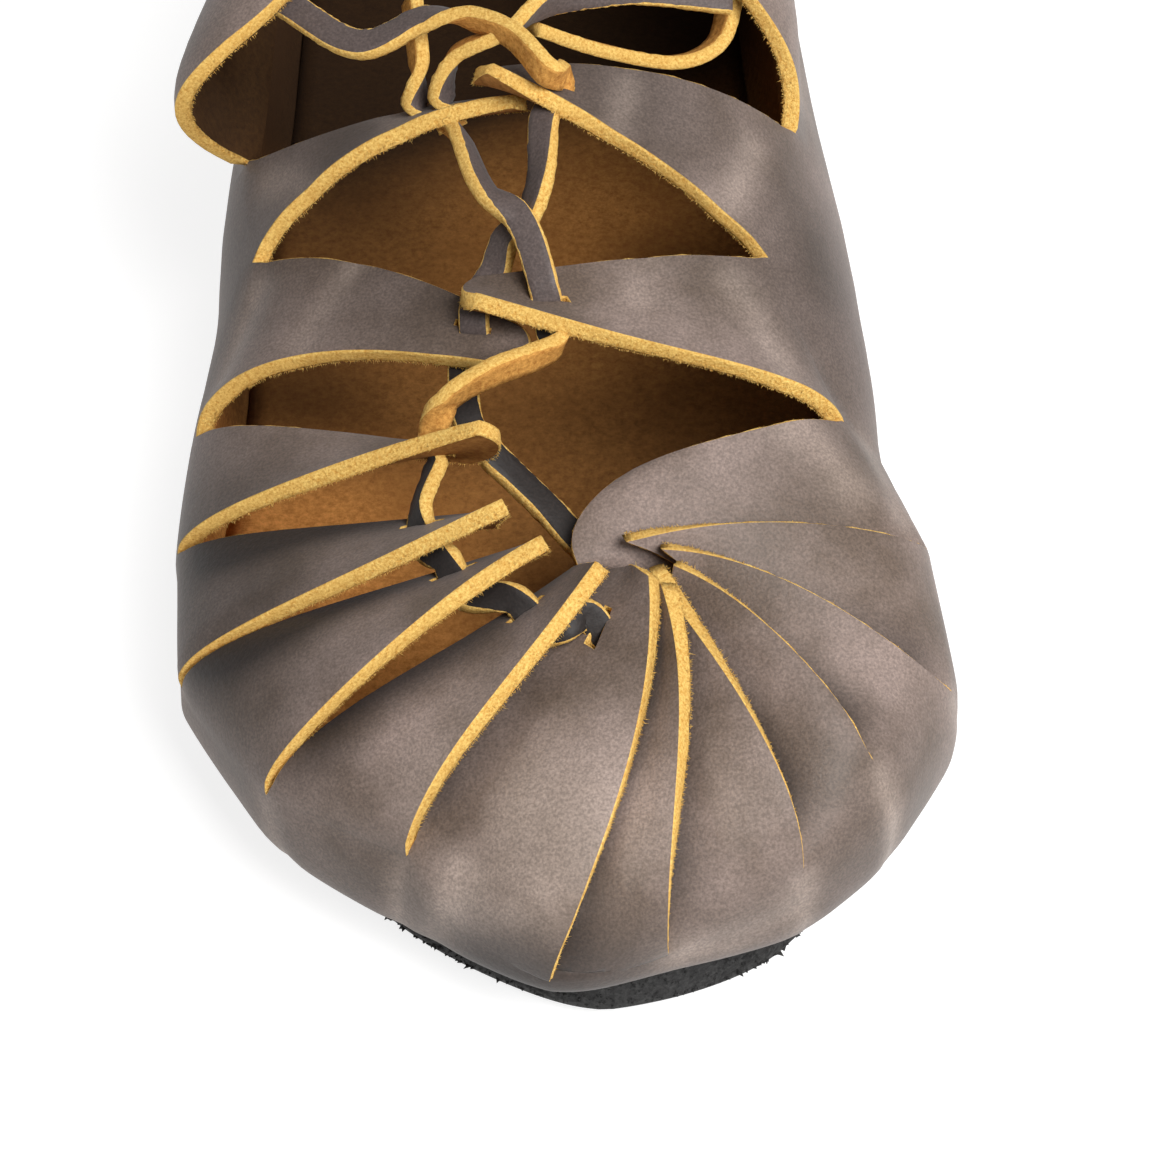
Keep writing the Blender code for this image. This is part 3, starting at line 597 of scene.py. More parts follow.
def upper_sheet():
    """Middle of the upper's leather: margin, wall, strips and quarter."""
    sheet = Sheet()
    fine = STRIP_ACROSS * STRIP_SPLIT
    places = np.concatenate([np.arange(QUARTER_RIB * fine) / fine,
                             QUARTER_RIB + np.arange((RIB_COUNT - QUARTER_RIB) * QUARTER_ACROSS)
                             / QUARTER_ACROSS])
    root = rib(places)["slit"]
    rows = [sheet.add_row(margin_point(places, inset), np.zeros(len(places)))
            for inset in np.linspace(MARGIN, MARGIN / MARGIN_ROWS, MARGIN_ROWS)]
    for part in np.linspace(0.0, 1.0, WALL_ROWS):
        angle = -90.0 + (root + 90.0) * part
        height, bent = creases(places, angle)
        height = height * ease(part, *CREASE_START)
        rows.append(sheet.add_row(lifted(places, angle, height), bent))
    for below, here in zip(rows[:-1], rows[1:]):
        sheet.join(below + below[:1], here + here[:1])
    top = rows[-1] + rows[-1][:1]
    steps = np.interp(np.arange((len(STRIP_STEPS) - 1) * STRIP_SPLIT + 1) / STRIP_SPLIT,
                      np.arange(len(STRIP_STEPS)), STRIP_STEPS)
    across = np.linspace(0.0, 1.0, fine + 1)
    for index in range(QUARTER_RIB):
        below = top[index * fine:(index + 1) * fine + 1]
        slot = STRIPS[index][4]
        for row, up in enumerate(steps[1:]):
            step, angle, lift = strip_place(index, across, np.full(fine + 1, up))
            height, bent = creases(step, angle)
            # painted shade along the tucked left edge of strips L2 to R3
            tucked = (1.0 - ease(across, 0.0, TUCK_WIDE)) * ease(up, 0.0, TUCK_RISE)
            here = sheet.add_row(lifted(step, angle, lift + height), bent,
                                 TUCK_SHADE * tucked * (index in TUCKED_STRIPS))
            sheet.join(below, here, lambda c: not in_slot(slot, c, row))
            below = here
    below = top[QUARTER_RIB * fine:]
    across = np.linspace(0.0, 1.0, len(below))
    for up in np.linspace(0.0, 1.0, QUARTER_ROWS + 1)[1:]:
        step, angle, lift = quarter_place(across, np.full(len(below), up))
        height, bent = creases(step, angle)
        here = sheet.add_row(lifted(step, angle, lift + height), bent)
        sheet.join(below, here)
        below = here
    return tuple(np.concatenate(rows) for rows in (sheet.points, sheet.bent, sheet.tone)) + (
        sheet.cells,)


def sheet_normals(points, cells):
    """Normals of a sheet at its points."""
    corners = np.array(cells)
    face = np.cross(points[corners[:, 2]] - points[corners[:, 0]],
                    points[corners[:, 3]] - points[corners[:, 1]])
    normals = np.zeros_like(points)
    for k in range(4):
        np.add.at(normals, corners[:, k], face)
    return unit(normals)


def cut_edges(cells):
    """Edges with a cell on one side only, running with the sheet on their left."""
    borders = {}
    for cell in cells:
        for a, b in zip(cell, cell[1:] + cell[:1]):
            if borders.pop((b, a), None) is None:
                borders[(a, b)] = True
    return np.array(list(borders))


# Cut edge from the grain to the flesh: share of the half thickness and of the bulge
EDGE_PROFILE = ((0.92, 0.55), (0.62, 1.0), (0.2, 0.95), (-0.25, 1.1), (-0.65, 1.05), (-0.93, 0.6))


def leather_skin(points, cells, bulge, roughness):
    """Leather round a sheet: points, faces, the finish of each face, and the cut edges."""
    rng = np.random.default_rng(SEEDS["cut edge"])
    normals = sheet_normals(points, cells)
    edges = cut_edges(cells)
    outward = np.zeros_like(points)
    along = points[edges[:, 1]] - points[edges[:, 0]]
    away = unit(np.cross(along, normals[edges[:, 0]]))
    np.add.at(outward, edges[:, 0], away)
    np.add.at(outward, edges[:, 1], away)
    outward = unit(outward)
    count = len(points)
    half = LEATHER / 2
    rim = np.unique(edges)
    number = np.full(count, -1)
    number[rim] = np.arange(len(rim))
    solid = [points + normals * half, points - normals * half]
    for height, out in EDGE_PROFILE:
        rough = rng.normal(0.0, roughness, (len(rim), 2))
        solid.append(points[rim] + normals[rim] * (height * half + rough[:, :1])
                     + outward[rim] * (bulge * out + rough[:, 1:]))
    faces = [tuple(cell) for cell in cells]
    faces += [tuple(count + k for k in reversed(cell)) for cell in cells]
    finish = [GRAIN] * len(cells) + [FLESH] * len(cells)
    rows = len(EDGE_PROFILE)
    for a, b in edges:
        first = [a] + [2 * count + r * len(rim) + number[a] for r in range(rows)] + [count + a]
        second = [b] + [2 * count + r * len(rim) + number[b] for r in range(rows)] + [count + b]
        for r in range(rows + 1):
            faces.append((second[r], first[r], first[r + 1], second[r + 1]))
            finish.append(CUT)
    return np.concatenate(solid), faces, finish, edges


def add_piece(name, points, faces, materials, finish, nodes):
    """Mesh object of the shoe, in place of its CAD nodes."""
    mesh = bpy.data.meshes.new(name)
    mesh.from_pydata(((points + SHIFT) * MM).tolist(), [], faces)
    for material in materials:
        mesh.materials.append(material)
    mesh.polygons.foreach_set("material_index", np.array(finish, np.int32))
    mesh.polygons.foreach_set("use_smooth", np.ones(len(mesh.polygons), bool))
    mesh.update()
    piece = bpy.data.objects.new(name, mesh)
    bpy.context.scene.collection.objects.link(piece)
    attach(piece, "root")
    if nodes:
        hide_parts(*nodes)
    return piece


def sharpen(mesh, pairs):
    """Mark edges between finishes as sharp, so that the grain stays flat up to the cut."""
    wanted = {(min(a, b), max(a, b)) for a, b in pairs}
    flags = np.array([tuple(sorted(edge.vertices)) in wanted for edge in mesh.edges])
    sharp = mesh.attributes.new("sharp_edge", "BOOLEAN", "EDGE")
    sharp.data.foreach_set("value", flags)


def point_values(mesh, name, values):
    """Store a number at each point of a mesh for its material."""
    attribute = mesh.attributes.new(name, "FLOAT", "POINT")
    attribute.data.foreach_set("value", np.asarray(values, np.float32))


def stop_place(stop):
    """Point of a stop of a lace strand, and the direction that is out there."""
    if len(stop) == 4:
        return np.array(stop[:3], float), OPEN_FACE
    index = STRIP_NAMES.index(stop[0])
    across = stop[1] + np.array([0, -PATCH_APART, PATCH_APART, 0, 0])
    up = stop[2] + np.array([0, 0, 0, -PATCH_APART, PATCH_APART])
    middle, left, right, low, high = lifted(*strip_place(index, across, up))
    face = unit(np.cross(right - left, high - low))
    return middle + face * stop[3], face


def lengths_along(line):
    """Distance of each point of a line from its start, along the line."""
    return np.concatenate([[0.0], np.cumsum(np.linalg.norm(np.diff(line, axis=0), axis=1))])


def smooth_run(stops):
    """Evenly spaced points on a smooth curve through stops, and where each stop lies."""
    ends = np.concatenate([2 * stops[:1] - stops[1:2], stops, 2 * stops[-1:] - stops[-2:-1]])
    chords = np.linalg.norm(np.diff(ends, axis=0), axis=1)
    knots = np.concatenate([[0.0], np.cumsum(np.sqrt(chords))])
    path, marks = [], []
    for k in range(len(stops) - 1):
        p0, p1, p2, p3 = ends[k:k + 4]
        t0, t1, t2, t3 = knots[k:k + 4]
        marks.append(len(path))
        for t in np.linspace(t1, t2, CURVE_POINTS, endpoint=False):
            a1 = p0 + (p1 - p0) * (t - t0) / (t1 - t0)
            a2 = p1 + (p2 - p1) * (t - t1) / (t2 - t1)
            a3 = p2 + (p3 - p2) * (t - t2) / (t3 - t2)
            b1 = a1 + (a2 - a1) * (t - t0) / (t2 - t0)
            b2 = a2 + (a3 - a2) * (t - t1) / (t3 - t1)
            path.append(b1 + (b2 - b1) * (t - t1) / (t2 - t1))
    marks.append(len(path))
    path = np.array(path + [stops[-1]])
    far = lengths_along(path)
    places = np.linspace(0.0, far[-1], max(FEWEST_RINGS, int(far[-1] / STRAND_SPACING)))
    run = np.stack([np.interp(places, far, path[:, k]) for k in range(3)], -1)
    return run, np.interp(far[marks], places, np.arange(len(places)))


def turned_faces(run, marks, out, turns):
    """Headings and face directions along a run that has a given turn from the direction out
    at each stop, and turns as little as it can between them."""
    ahead = unit(np.gradient(run, axis=0))
    carried = [unit(out[0] - ahead[0] * (out[0] @ ahead[0]))]
    for step in ahead[1:]:
        carried.append(unit(carried[-1] - step * (carried[-1] @ step)))
    carried = np.array(carried)
    sides = np.cross(ahead, carried)
    wanted = []
    for mark, way, turn in zip(marks, out, np.radians(turns)):
        k = int(round(mark))
        wanted.append(np.arctan2(way @ sides[k], way @ carried[k]) + turn)
    turn = np.interp(np.arange(len(run)), marks, np.unwrap(wanted))[:, None]
    return ahead, carried * np.cos(turn) + sides * np.sin(turn)


def strand(stops):
    """Run of a strand through its stops, with its headings and face directions."""
    places, out = (np.array(rows) for rows in zip(*map(stop_place, stops)))
    run, marks = smooth_run(places)
    return (run, *turned_faces(run, marks, out, [stop[-1] for stop in stops]))


# Section of the thong: shares of its half width and half thickness, and the finish of the
# side that starts there
THONG_SECTION = (
    (-0.9, 1.0, GRAIN), (-0.45, 1.04, GRAIN), (0.0, 1.05, GRAIN), (0.45, 1.04, GRAIN),
    (0.9, 1.0, CUT), (1.0, 0.8, CUT), (1.03, 0.2, CUT), (1.0, -0.5, CUT),
    (0.92, -1.0, FLESH), (0.45, -0.98, FLESH), (0.0, -0.96, FLESH), (-0.45, -0.98, FLESH),
    (-0.92, -1.0, CUT), (-1.0, -0.5, CUT), (-1.03, 0.2, CUT), (-1.0, 0.8, CUT))
THONG_ROUGH = {GRAIN: 0.015, FLESH: 0.015, CUT: 0.05}   # unevenness in millimetres


def thong(run, ahead, face, settings, rng):
    """Closed solid of a flat thong along a run, with the finish of each face."""
    wide, thick = settings.width / MM, settings.thickness / MM
    side = np.cross(ahead, face)
    size = len(THONG_SECTION)
    rings = []
    for across, up, finish in THONG_SECTION:
        rough = rng.normal(0.0, THONG_ROUGH[finish], (len(run), 2))
        rings.append(run + side * (across * wide / 2 + rough[:, :1])
                     + face * (up * thick / 2 + rough[:, 1:]))
    points = np.stack(rings, 1).reshape(-1, 3)
    faces = [tuple(reversed(range(size)))]
    finishes = [CUT]
    for s in range(len(run) - 1):
        for k in range(size):
            a, b = s * size + k, s * size + (k + 1) % size
            faces.append((a, b, b + size, a + size))
            finishes.append(THONG_SECTION[k][2])
    faces.append(tuple((len(run) - 1) * size + k for k in range(size)))
    finishes.append(CUT)
    return points, faces, finishes


def lace_strands(strands, settings):
    """Points, faces and finishes of several strands of the lace."""
    rng = np.random.default_rng(SEEDS["lace"])
    points, faces, finishes = [], [], []
    used = 0
    for stops in strands:
        rings, cells, sides = thong(*strand(stops), settings, rng)
        points.append(rings)
        faces += [tuple(used + k for k in cell) for cell in cells]
        finishes += sides
        used += len(rings)
    return np.concatenate(points), faces, finishes


def split_line(line):
    """Left and right half of a closed outline, both from toe to heel."""
    toe, heel = np.argmin(line[:, 1]), np.argmax(line[:, 1])
    left = np.concatenate([line[heel:], line[:toe + 1]])[::-1]
    return left, line[toe:heel + 1]


def side_lines(inset, soft):
    """Left and right outline of the sole as lines from toe to heel."""
    return split_line(margin_point(OUTLINE_STEPS, inset, soft)[:, :2])


def wall_lines(height):
    """Left and right outline of the wall's inner face at a height above the ground line."""
    places, angle = np.broadcast_arrays(OUTLINE_STEPS[:, None], WALL_ANGLES[None, :])
    inner = last_point(places, angle) - last_normal(places, angle) * (LEATHER / 2 + SEAT_GAP)
    level = np.argmin(np.abs(inner[..., 2] - height - sole_rise(inner[..., 1])), axis=1)
    return split_line(inner[np.arange(len(inner)), level, :2])


END_TURN = 0.03         # the loft of a sole piece stops just short of its tips, in radians
MOST_ROUNDING = 0.3     # share of the half width that the rounding may take near the tips
WALL_TRIM = 1.5         # roundings by which the rough wall is lower than the piece


def bed(inset, soft, low, thickness, rounding, stations, columns, rows, crumb, top=None):
    """Closed solid of a sole piece, lofted from toe to heel, with a rough edge; top gives
    other outlines for its upper face."""
    rng = np.random.default_rng(SEEDS["sole edge"])
    left, right = side_lines(inset, soft)
    toe, heel = right[0, 1], right[-1, 1]
    turn = np.linspace(END_TURN, np.pi - END_TURN, stations)
    share = np.linspace(-1.0, 1.0, columns)
    wall = np.linspace(0.0, 1.0, rows + 2)[1:-1]
    points, faces = [], []
    for y in (toe + heel) / 2 - (heel - toe) / 2 * np.cos(turn):
        x_left = np.interp(y, left[:, 1], left[:, 0])
        x_right = np.interp(y, right[:, 1], right[:, 0])
        base = low + sole_rise(y)
        middle, half = (x_left + x_right) / 2, (x_right - x_left) / 2
        trim = half - min(rounding, MOST_ROUNDING * half)
        top_left, top_right = middle - trim, middle + trim
        if top is not None:
            top_left = min(top_left, np.interp(y, top[0][:, 1], top[0][:, 0]))
            top_right = max(top_right, np.interp(y, top[1][:, 1], top[1][:, 0]))
        widen_left, widen_right = middle - trim - top_left, top_right - middle - trim
        level = base + rounding + (thickness - WALL_TRIM * rounding) * wall
        ring = [(middle + trim * s, y, base) for s in share]
        ring += [(x_right + widen_right * w + rng.normal(0, crumb), y, z) for w, z in zip(wall, level)]
        ring += [(x, y, base + thickness) for x in np.linspace(top_right, top_left, columns)]
        ring += [(x_left - widen_left * w + rng.normal(0, crumb), y, z)
                 for w, z in zip(wall[::-1], level[::-1])]
        points += ring
    size = len(points) // stations
    for s in range(stations - 1):
        for k in range(size):
            a, b = s * size + k, s * size + (k + 1) % size
            faces.append((a, a + size, b + size, b))
    faces.append(tuple(range(size)))
    faces.append(tuple((stations - 1) * size + k for k in reversed(range(size))))
    return np.array(points), faces


def set_inputs(tree, node, inputs):
    """Set inputs of a shader node to values, or link them to sockets."""
    for key, value in inputs.items():
        if isinstance(value, bpy.types.NodeSocket):
            tree.links.new(value, node.inputs[key])
        else:
            node.inputs[key].default_value = value


def add_node(tree, kind, inputs=None, **settings):
    """Add a shader node with its settings; inputs are values or sockets to link."""
    node = tree.nodes.new(kind)
    for key, value in settings.items():
        setattr(node, key, value)
    set_inputs(tree, node, inputs or {})
    return node


def new_material(name):
    """Material with its node tree and its shader."""
    material = bpy.data.materials.new(name)
    material.use_nodes = True
    return material, material.node_tree, material.node_tree.nodes["Principled BSDF"]


def per_metre(millimetres):
    """Texture scale for a pattern of that size."""
    return 1000.0 / millimetres


def rgba(colour):
    """Colour with full cover."""
    return (*colour, 1.0)


# Numbers of the colour sockets of a Mix node, whose names are not unique
MIX_SHARE, MIX_FROM, MIX_TO = 0, 6, 7
MIX_COLOUR = 2


def oiled_nubuck(name, base, dark, deep, light):
    """Oiled, waxed nubuck: matt, greasy patches, paler where it is bent or rubbed, with painted
    light and shade from a point value, and a fine pale speckle of raised nap. Nap and pores
    are drawn coarser than real, to show."""
    material, tree, shader = new_material(name)
    place = add_node(tree, "ShaderNodeTexCoord").outputs["Object"]
    patches = add_node(tree, "ShaderNodeTexNoise", {
        "Vector": place, "Scale": per_metre(26), "Detail": 4.0, "Roughness": 0.6})
    patch_share = add_node(tree, "ShaderNodeMapRange", {
        "Value": patches.outputs["Fac"], "From Min": 0.38, "From Max": 0.66})
    colour = add_node(tree, "ShaderNodeMix", {
        MIX_SHARE: patch_share.outputs["Result"], MIX_FROM: rgba(dark), MIX_TO: rgba(base)},
        data_type="RGBA")
    # painted shade toward the deep tint below zero and painted light toward the light tint above zero
    painted_tone = add_node(tree, "ShaderNodeAttribute", attribute_name="painted_light_and_shade")
    for full, tint in ((-1.0, deep), (1.0, light)):
        tone_share = add_node(tree, "ShaderNodeMapRange", {
            "Value": painted_tone.outputs["Fac"], "From Min": 0.0, "From Max": full})
        colour = add_node(tree, "ShaderNodeMix", {
            MIX_SHARE: tone_share.outputs["Result"], MIX_FROM: colour.outputs[MIX_COLOUR],
            MIX_TO: rgba(tint)}, data_type="RGBA")
    bent = add_node(tree, "ShaderNodeAttribute", attribute_name="bent")
    rubbed = add_node(tree, "ShaderNodeTexNoise", {
        "Vector": place, "Scale": per_metre(7), "Detail": 3.0})
    rub_share = add_node(tree, "ShaderNodeMath", {
        0: bent.outputs["Fac"], 1: rubbed.outputs["Fac"]}, operation="MULTIPLY")
    pulled = add_node(tree, "ShaderNodeMix", {
        MIX_SHARE: rub_share.outputs["Value"], MIX_FROM: colour.outputs[MIX_COLOUR],
        MIX_TO: rgba(light)}, data_type="RGBA")
    nap = add_node(tree, "ShaderNodeTexNoise", {
        "Vector": place, "Scale": per_metre(0.4), "Detail": 2.0, "Roughness": 0.6})
    speck_share = add_node(tree, "ShaderNodeMapRange", {
        "Value": nap.outputs["Fac"], "From Min": 0.35, "From Max": 0.75, "To Max": 0.6})
    raised = add_node(tree, "ShaderNodeHueSaturation", {
        "Value": 2.3, "Color": pulled.outputs[MIX_COLOUR]})
    speckled = add_node(tree, "ShaderNodeMix", {
        MIX_SHARE: speck_share.outputs["Result"], MIX_FROM: pulled.outputs[MIX_COLOUR],
        MIX_TO: raised.outputs["Color"]}, data_type="RGBA")
    gloss = add_node(tree, "ShaderNodeMapRange", {
        "Value": patches.outputs["Fac"], "From Min": 0.3, "From Max": 0.7,
        "To Min": 0.52, "To Max": 0.68})
    pores = add_node(tree, "ShaderNodeTexVoronoi", {"Vector": place, "Scale": per_metre(1.1)})
    pore_bump = add_node(tree, "ShaderNodeBump", {
        "Height": pores.outputs["Distance"], "Strength": 0.12, "Distance": 0.3 * MM})
    nap_bump = add_node(tree, "ShaderNodeBump", {
        "Height": nap.outputs["Fac"], "Strength": 0.25, "Distance": 0.2 * MM,
        "Normal": pore_bump.outputs["Normal"]})
    set_inputs(tree, shader, {
        "Base Color": speckled.outputs[MIX_COLOUR], "Roughness": gloss.outputs["Result"],
        "Normal": nap_bump.outputs["Normal"], "Specular IOR Level": 0.35, "Sheen Weight": 0.08})
    return material


def fibrous_leather(name, base, shade, grain_mm, relief, sheen, cloud=1.0):
    """Open leather fibre, as on the flesh side and a raw cut: matt, with short tangled
    hairs in lighter and darker tufts, and darker where feet and hands have oiled it. The
    tufts are drawn, because single hairs are too fine to show."""
    material, tree, shader = new_material(name)
    place = add_node(tree, "ShaderNodeTexCoord").outputs["Object"]
    tufts = add_node(tree, "ShaderNodeTexNoise", {
        "Vector": place, "Scale": per_metre(grain_mm), "Detail": 5.0, "Roughness": 0.75})
    oil = add_node(tree, "ShaderNodeTexNoise", {
        "Vector": place, "Scale": per_metre(14), "Detail": 2.0})
    tuft_share = add_node(tree, "ShaderNodeMapRange", {
        "Value": tufts.outputs["Fac"], "From Min": 0.32, "From Max": 0.66})
    oil_share = add_node(tree, "ShaderNodeMapRange", {
        "Value": oil.outputs["Fac"], "From Min": 0.3, "From Max": 0.7,
        "To Min": 1.0 - 0.5 * cloud})
    share = add_node(tree, "ShaderNodeMath", {
        0: tuft_share.outputs["Result"], 1: oil_share.outputs["Result"]}, operation="MULTIPLY")
    colour = add_node(tree, "ShaderNodeMix", {
        MIX_SHARE: share.outputs["Value"], MIX_FROM: rgba(shade), MIX_TO: rgba(base)},
        data_type="RGBA")
    # painted light and shade from the point value scale the colour's value
    painted_tone = add_node(tree, "ShaderNodeAttribute", attribute_name="painted_light_and_shade")
    value = add_node(tree, "ShaderNodeMath", {0: painted_tone.outputs["Fac"], 1: 1.0})
    toned = add_node(tree, "ShaderNodeHueSaturation", {
        "Value": value.outputs["Value"], "Color": colour.outputs[MIX_COLOUR]})
    bump = add_node(tree, "ShaderNodeBump", {
        "Height": tufts.outputs["Fac"], "Strength": relief, "Distance": 0.4 * MM})
    set_inputs(tree, shader, {
        "Base Color": toned.outputs["Color"], "Normal": bump.outputs["Normal"],
        "Roughness": 0.9, "Specular IOR Level": 0.2, "Sheen Weight": sheen,
        "Sheen Tint": rgba(shade)})
    return material


def crepe_rubber(name, base, light):
    """Crepe rubber, cast rough: black, dull, with a pebbled face of small crumbs."""
    material, tree, shader = new_material(name)
    place = add_node(tree, "ShaderNodeTexCoord").outputs["Object"]
    pebbles = add_node(tree, "ShaderNodeTexVoronoi", {"Vector": place, "Scale": per_metre(1.3)})
    grit = add_node(tree, "ShaderNodeTexNoise", {
        "Vector": place, "Scale": per_metre(0.8), "Detail": 4.0, "Roughness": 0.7})
    share = add_node(tree, "ShaderNodeMapRange", {
        "Value": grit.outputs["Fac"], "From Min": 0.45, "From Max": 0.75})
    colour = add_node(tree, "ShaderNodeMix", {
        MIX_SHARE: share.outputs["Result"], MIX_FROM: rgba(base), MIX_TO: rgba(light)},
        data_type="RGBA")
    coarse = add_node(tree, "ShaderNodeBump", {
        "Height": pebbles.outputs["Distance"], "Strength": 0.6, "Distance": 0.6 * MM})
    fine = add_node(tree, "ShaderNodeBump", {
        "Height": grit.outputs["Fac"], "Strength": 0.5, "Distance": 0.4 * MM,
        "Normal": coarse.outputs["Normal"]})
    set_inputs(tree, shader, {
        "Base Color": colour.outputs[MIX_COLOUR], "Normal": fine.outputs["Normal"],
        "Roughness": 0.82, "Specular IOR Level": 0.4})
    return material


def edge_material(leather):
    """Raw cut edge of tan leather, made once for all the pieces that show it."""
    return bpy.data.materials.get("raw cut edge") or fibrous_leather(
        "raw cut edge", leather.edge_light, leather.edge,
        grain_mm=0.42, relief=1.0, sheen=0.1, cloud=0.3)


class TIESHOE_OT_upper(bpy.types.Operator):
    """Build the one-piece leather upper with its strips, straps, slots and cut edges"""
    bl_idname = "tieshoe.upper"
    bl_label = "Upper"

    def execute(self, context):
        leather = context.scene.tieshoe_leather
        points, bent, tone, cells = upper_sheet()
        solid, faces, finish, edges = leather_skin(
            points, cells, leather.bulge / MM, leather.roughness / MM)
        grain = oiled_nubuck("oiled nubuck", leather.grain, leather.grain_dark,
                             leather.grain_shade, leather.grain_light)
        flesh = fibrous_leather("flesh side", leather.flesh, leather.flesh_dark,
                                grain_mm=0.9, relief=0.5, sheen=0.15)
        piece = add_piece("upper_leather", solid, faces, [grain, flesh, edge_material(leather)],
                          finish, ["upper"])
        count = len(points)
        rim = np.zeros(len(solid) - 2 * count)
        point_values(piece.data, "bent", np.concatenate([bent, bent, rim]))
        # painted light and shade of the grain, with painted shade under the tucked edges, and of the
        # flesh side
        grain_tone = np.clip(painted_light_and_shade(points) + tone, -1.0, 1.0)
        point_values(piece.data, "painted_light_and_shade", np.concatenate([grain_tone, inner_light_and_shade(points), rim]))
        sharpen(piece.data, np.concatenate([edges, edges + count]))
        return {"FINISHED"}


# Small closed spikes: loose fibres of the cut edges and crumbs of the sole. Lengths are in
# millimetres; a spread is the mean and deviation of a length's logarithm.
SPIKE_FACES = ((0, 2, 1), (0, 1, 3), (1, 2, 3), (2, 0, 3))
SPIKE_COS = -0.5                # a third of a turn round a spike's root
SPIKE_SIN = 0.87
FIBRE_THICK = 0.07              # half thickness at the root
FIBRE_FLOOR = FEATHER_Z + 4.0   # edges below this height show no fibres
FIBRE_HEIGHT = (-0.75, 0.45)    # mean and deviation, from -1 at the flesh to 1 at the grain
FIBRE_RANGE = (-1.02, 0.9)
FIBRE_SEAT = 0.8                # share of the edge's bulge where a fibre starts
FIBRE_FAN = 0.9                 # how far fibres fan out over the edge
FIBRE_LEAN = 0.6                # chance lean along the edge
FIBRE_TILT = 0.5                # share of that lean across the edge
FIBRE_SPREAD = (-0.25, 0.45)
CRUMB_THICK = 0.45
CRUMB_REACH = 0.6
CRUMB_DEEP = 0.35               # how far a crumb's root lies in the rubber
CRUMB_LEAN = 0.4
CRUMB_SPREAD = (-0.1, 0.3)
OUTLINE_APART = 0.5             # step along the sole's outline that gives its heading


def spikes(root, heading, reach, thick, rng):
    """Points and faces of small closed three-sided spikes."""
    side = unit(np.cross(heading, rng.normal(size=(len(root), 3)))) * thick
    across = np.cross(heading, side)
    points = np.stack([root + side, root + SPIKE_COS * side + SPIKE_SIN * across,
                       root + SPIKE_COS * side - SPIKE_SIN * across, root + heading * reach], 1)
    first = 4 * np.arange(len(root))[:, None, None]
    return points.reshape(-1, 3), (first + np.array(SPIKE_FACES)).reshape(-1, 3).tolist()


def crumbs(count):
    """Crumbs that stand out from the edge of the crepe sole, down to the ground at most."""
    rng = np.random.default_rng(SEEDS["crumbs"])
    left, right = side_lines(SOLE_INSET, SOLE_SOFT)
    outline = np.concatenate([left[::-1], right])
    run = lengths_along(outline)
    place = rng.random(count) * run[-1]
    x, y = (np.interp(place, run, outline[:, axis]) for axis in (0, 1))
    ahead = [np.interp(place + OUTLINE_APART, run, outline[:, axis]) for axis in (0, 1)]
    away = unit(np.stack([ahead[1] - y, x - ahead[0], np.zeros(count)], -1))
    height = CRUMB_THICK + (SOLE_THICK - 2 * CRUMB_THICK) * rng.random(count)
    heading = unit(away + rng.normal(0.0, CRUMB_LEAN, (count, 3)))
    root = np.stack([x, y, height + sole_rise(y)], -1) - away * CRUMB_DEEP
    reach = CRUMB_REACH * rng.lognormal(*CRUMB_SPREAD, (count, 1))
    points, faces = spikes(root, heading, reach, CRUMB_THICK, rng)
    points[:, 2] = np.maximum(points[:, 2], 0.0)
    return points, faces


class TIESHOE_OT_fibres(bpy.types.Operator):
    """Add the loose fibres along the cut edges of the upper"""
    bl_idname = "tieshoe.fibres"
    bl_label = "Edge fibres"

    def execute(self, context):
        leather = context.scene.tieshoe_leather
        count = leather.fibres
        rng = np.random.default_rng(SEEDS["fibres"])
        points, _, _, cells = upper_sheet()
        normals = sheet_normals(points, cells)
        edges = cut_edges(cells)
        edges = edges[points[edges[:, 0], 2] > FIBRE_FLOOR]
        start, end = points[edges[:, 0]], points[edges[:, 1]]
        length = np.linalg.norm(end - start, axis=1)
        pick = rng.choice(len(edges), count, p=length / length.sum())
        along = unit(end - start)[pick]
        normal = normals[edges[pick, 0]]
        away = unit(np.cross(along, normal))
        share = rng.random((count, 1))
        height = np.clip(rng.normal(*FIBRE_HEIGHT, (count, 1)), *FIBRE_RANGE)
        root = start[pick] + (end - start)[pick] * share + normal * height * LEATHER / 2
        root += away * leather.bulge / MM * FIBRE_SEAT
        lean = rng.normal(0.0, FIBRE_LEAN, (count, 2))
        tilt = FIBRE_FAN * height + lean[:, :1] * FIBRE_TILT
        heading = unit(away + normal * tilt + along * lean[:, 1:])
        reach = leather.fibre_length / MM * rng.lognormal(*FIBRE_SPREAD, (count, 1))
        tufts, faces = spikes(root, heading, reach, FIBRE_THICK, rng)
        add_piece("edge_fibres", tufts, faces, [edge_material(leather)], [0] * len(faces), [])
        return {"FINISHED"}


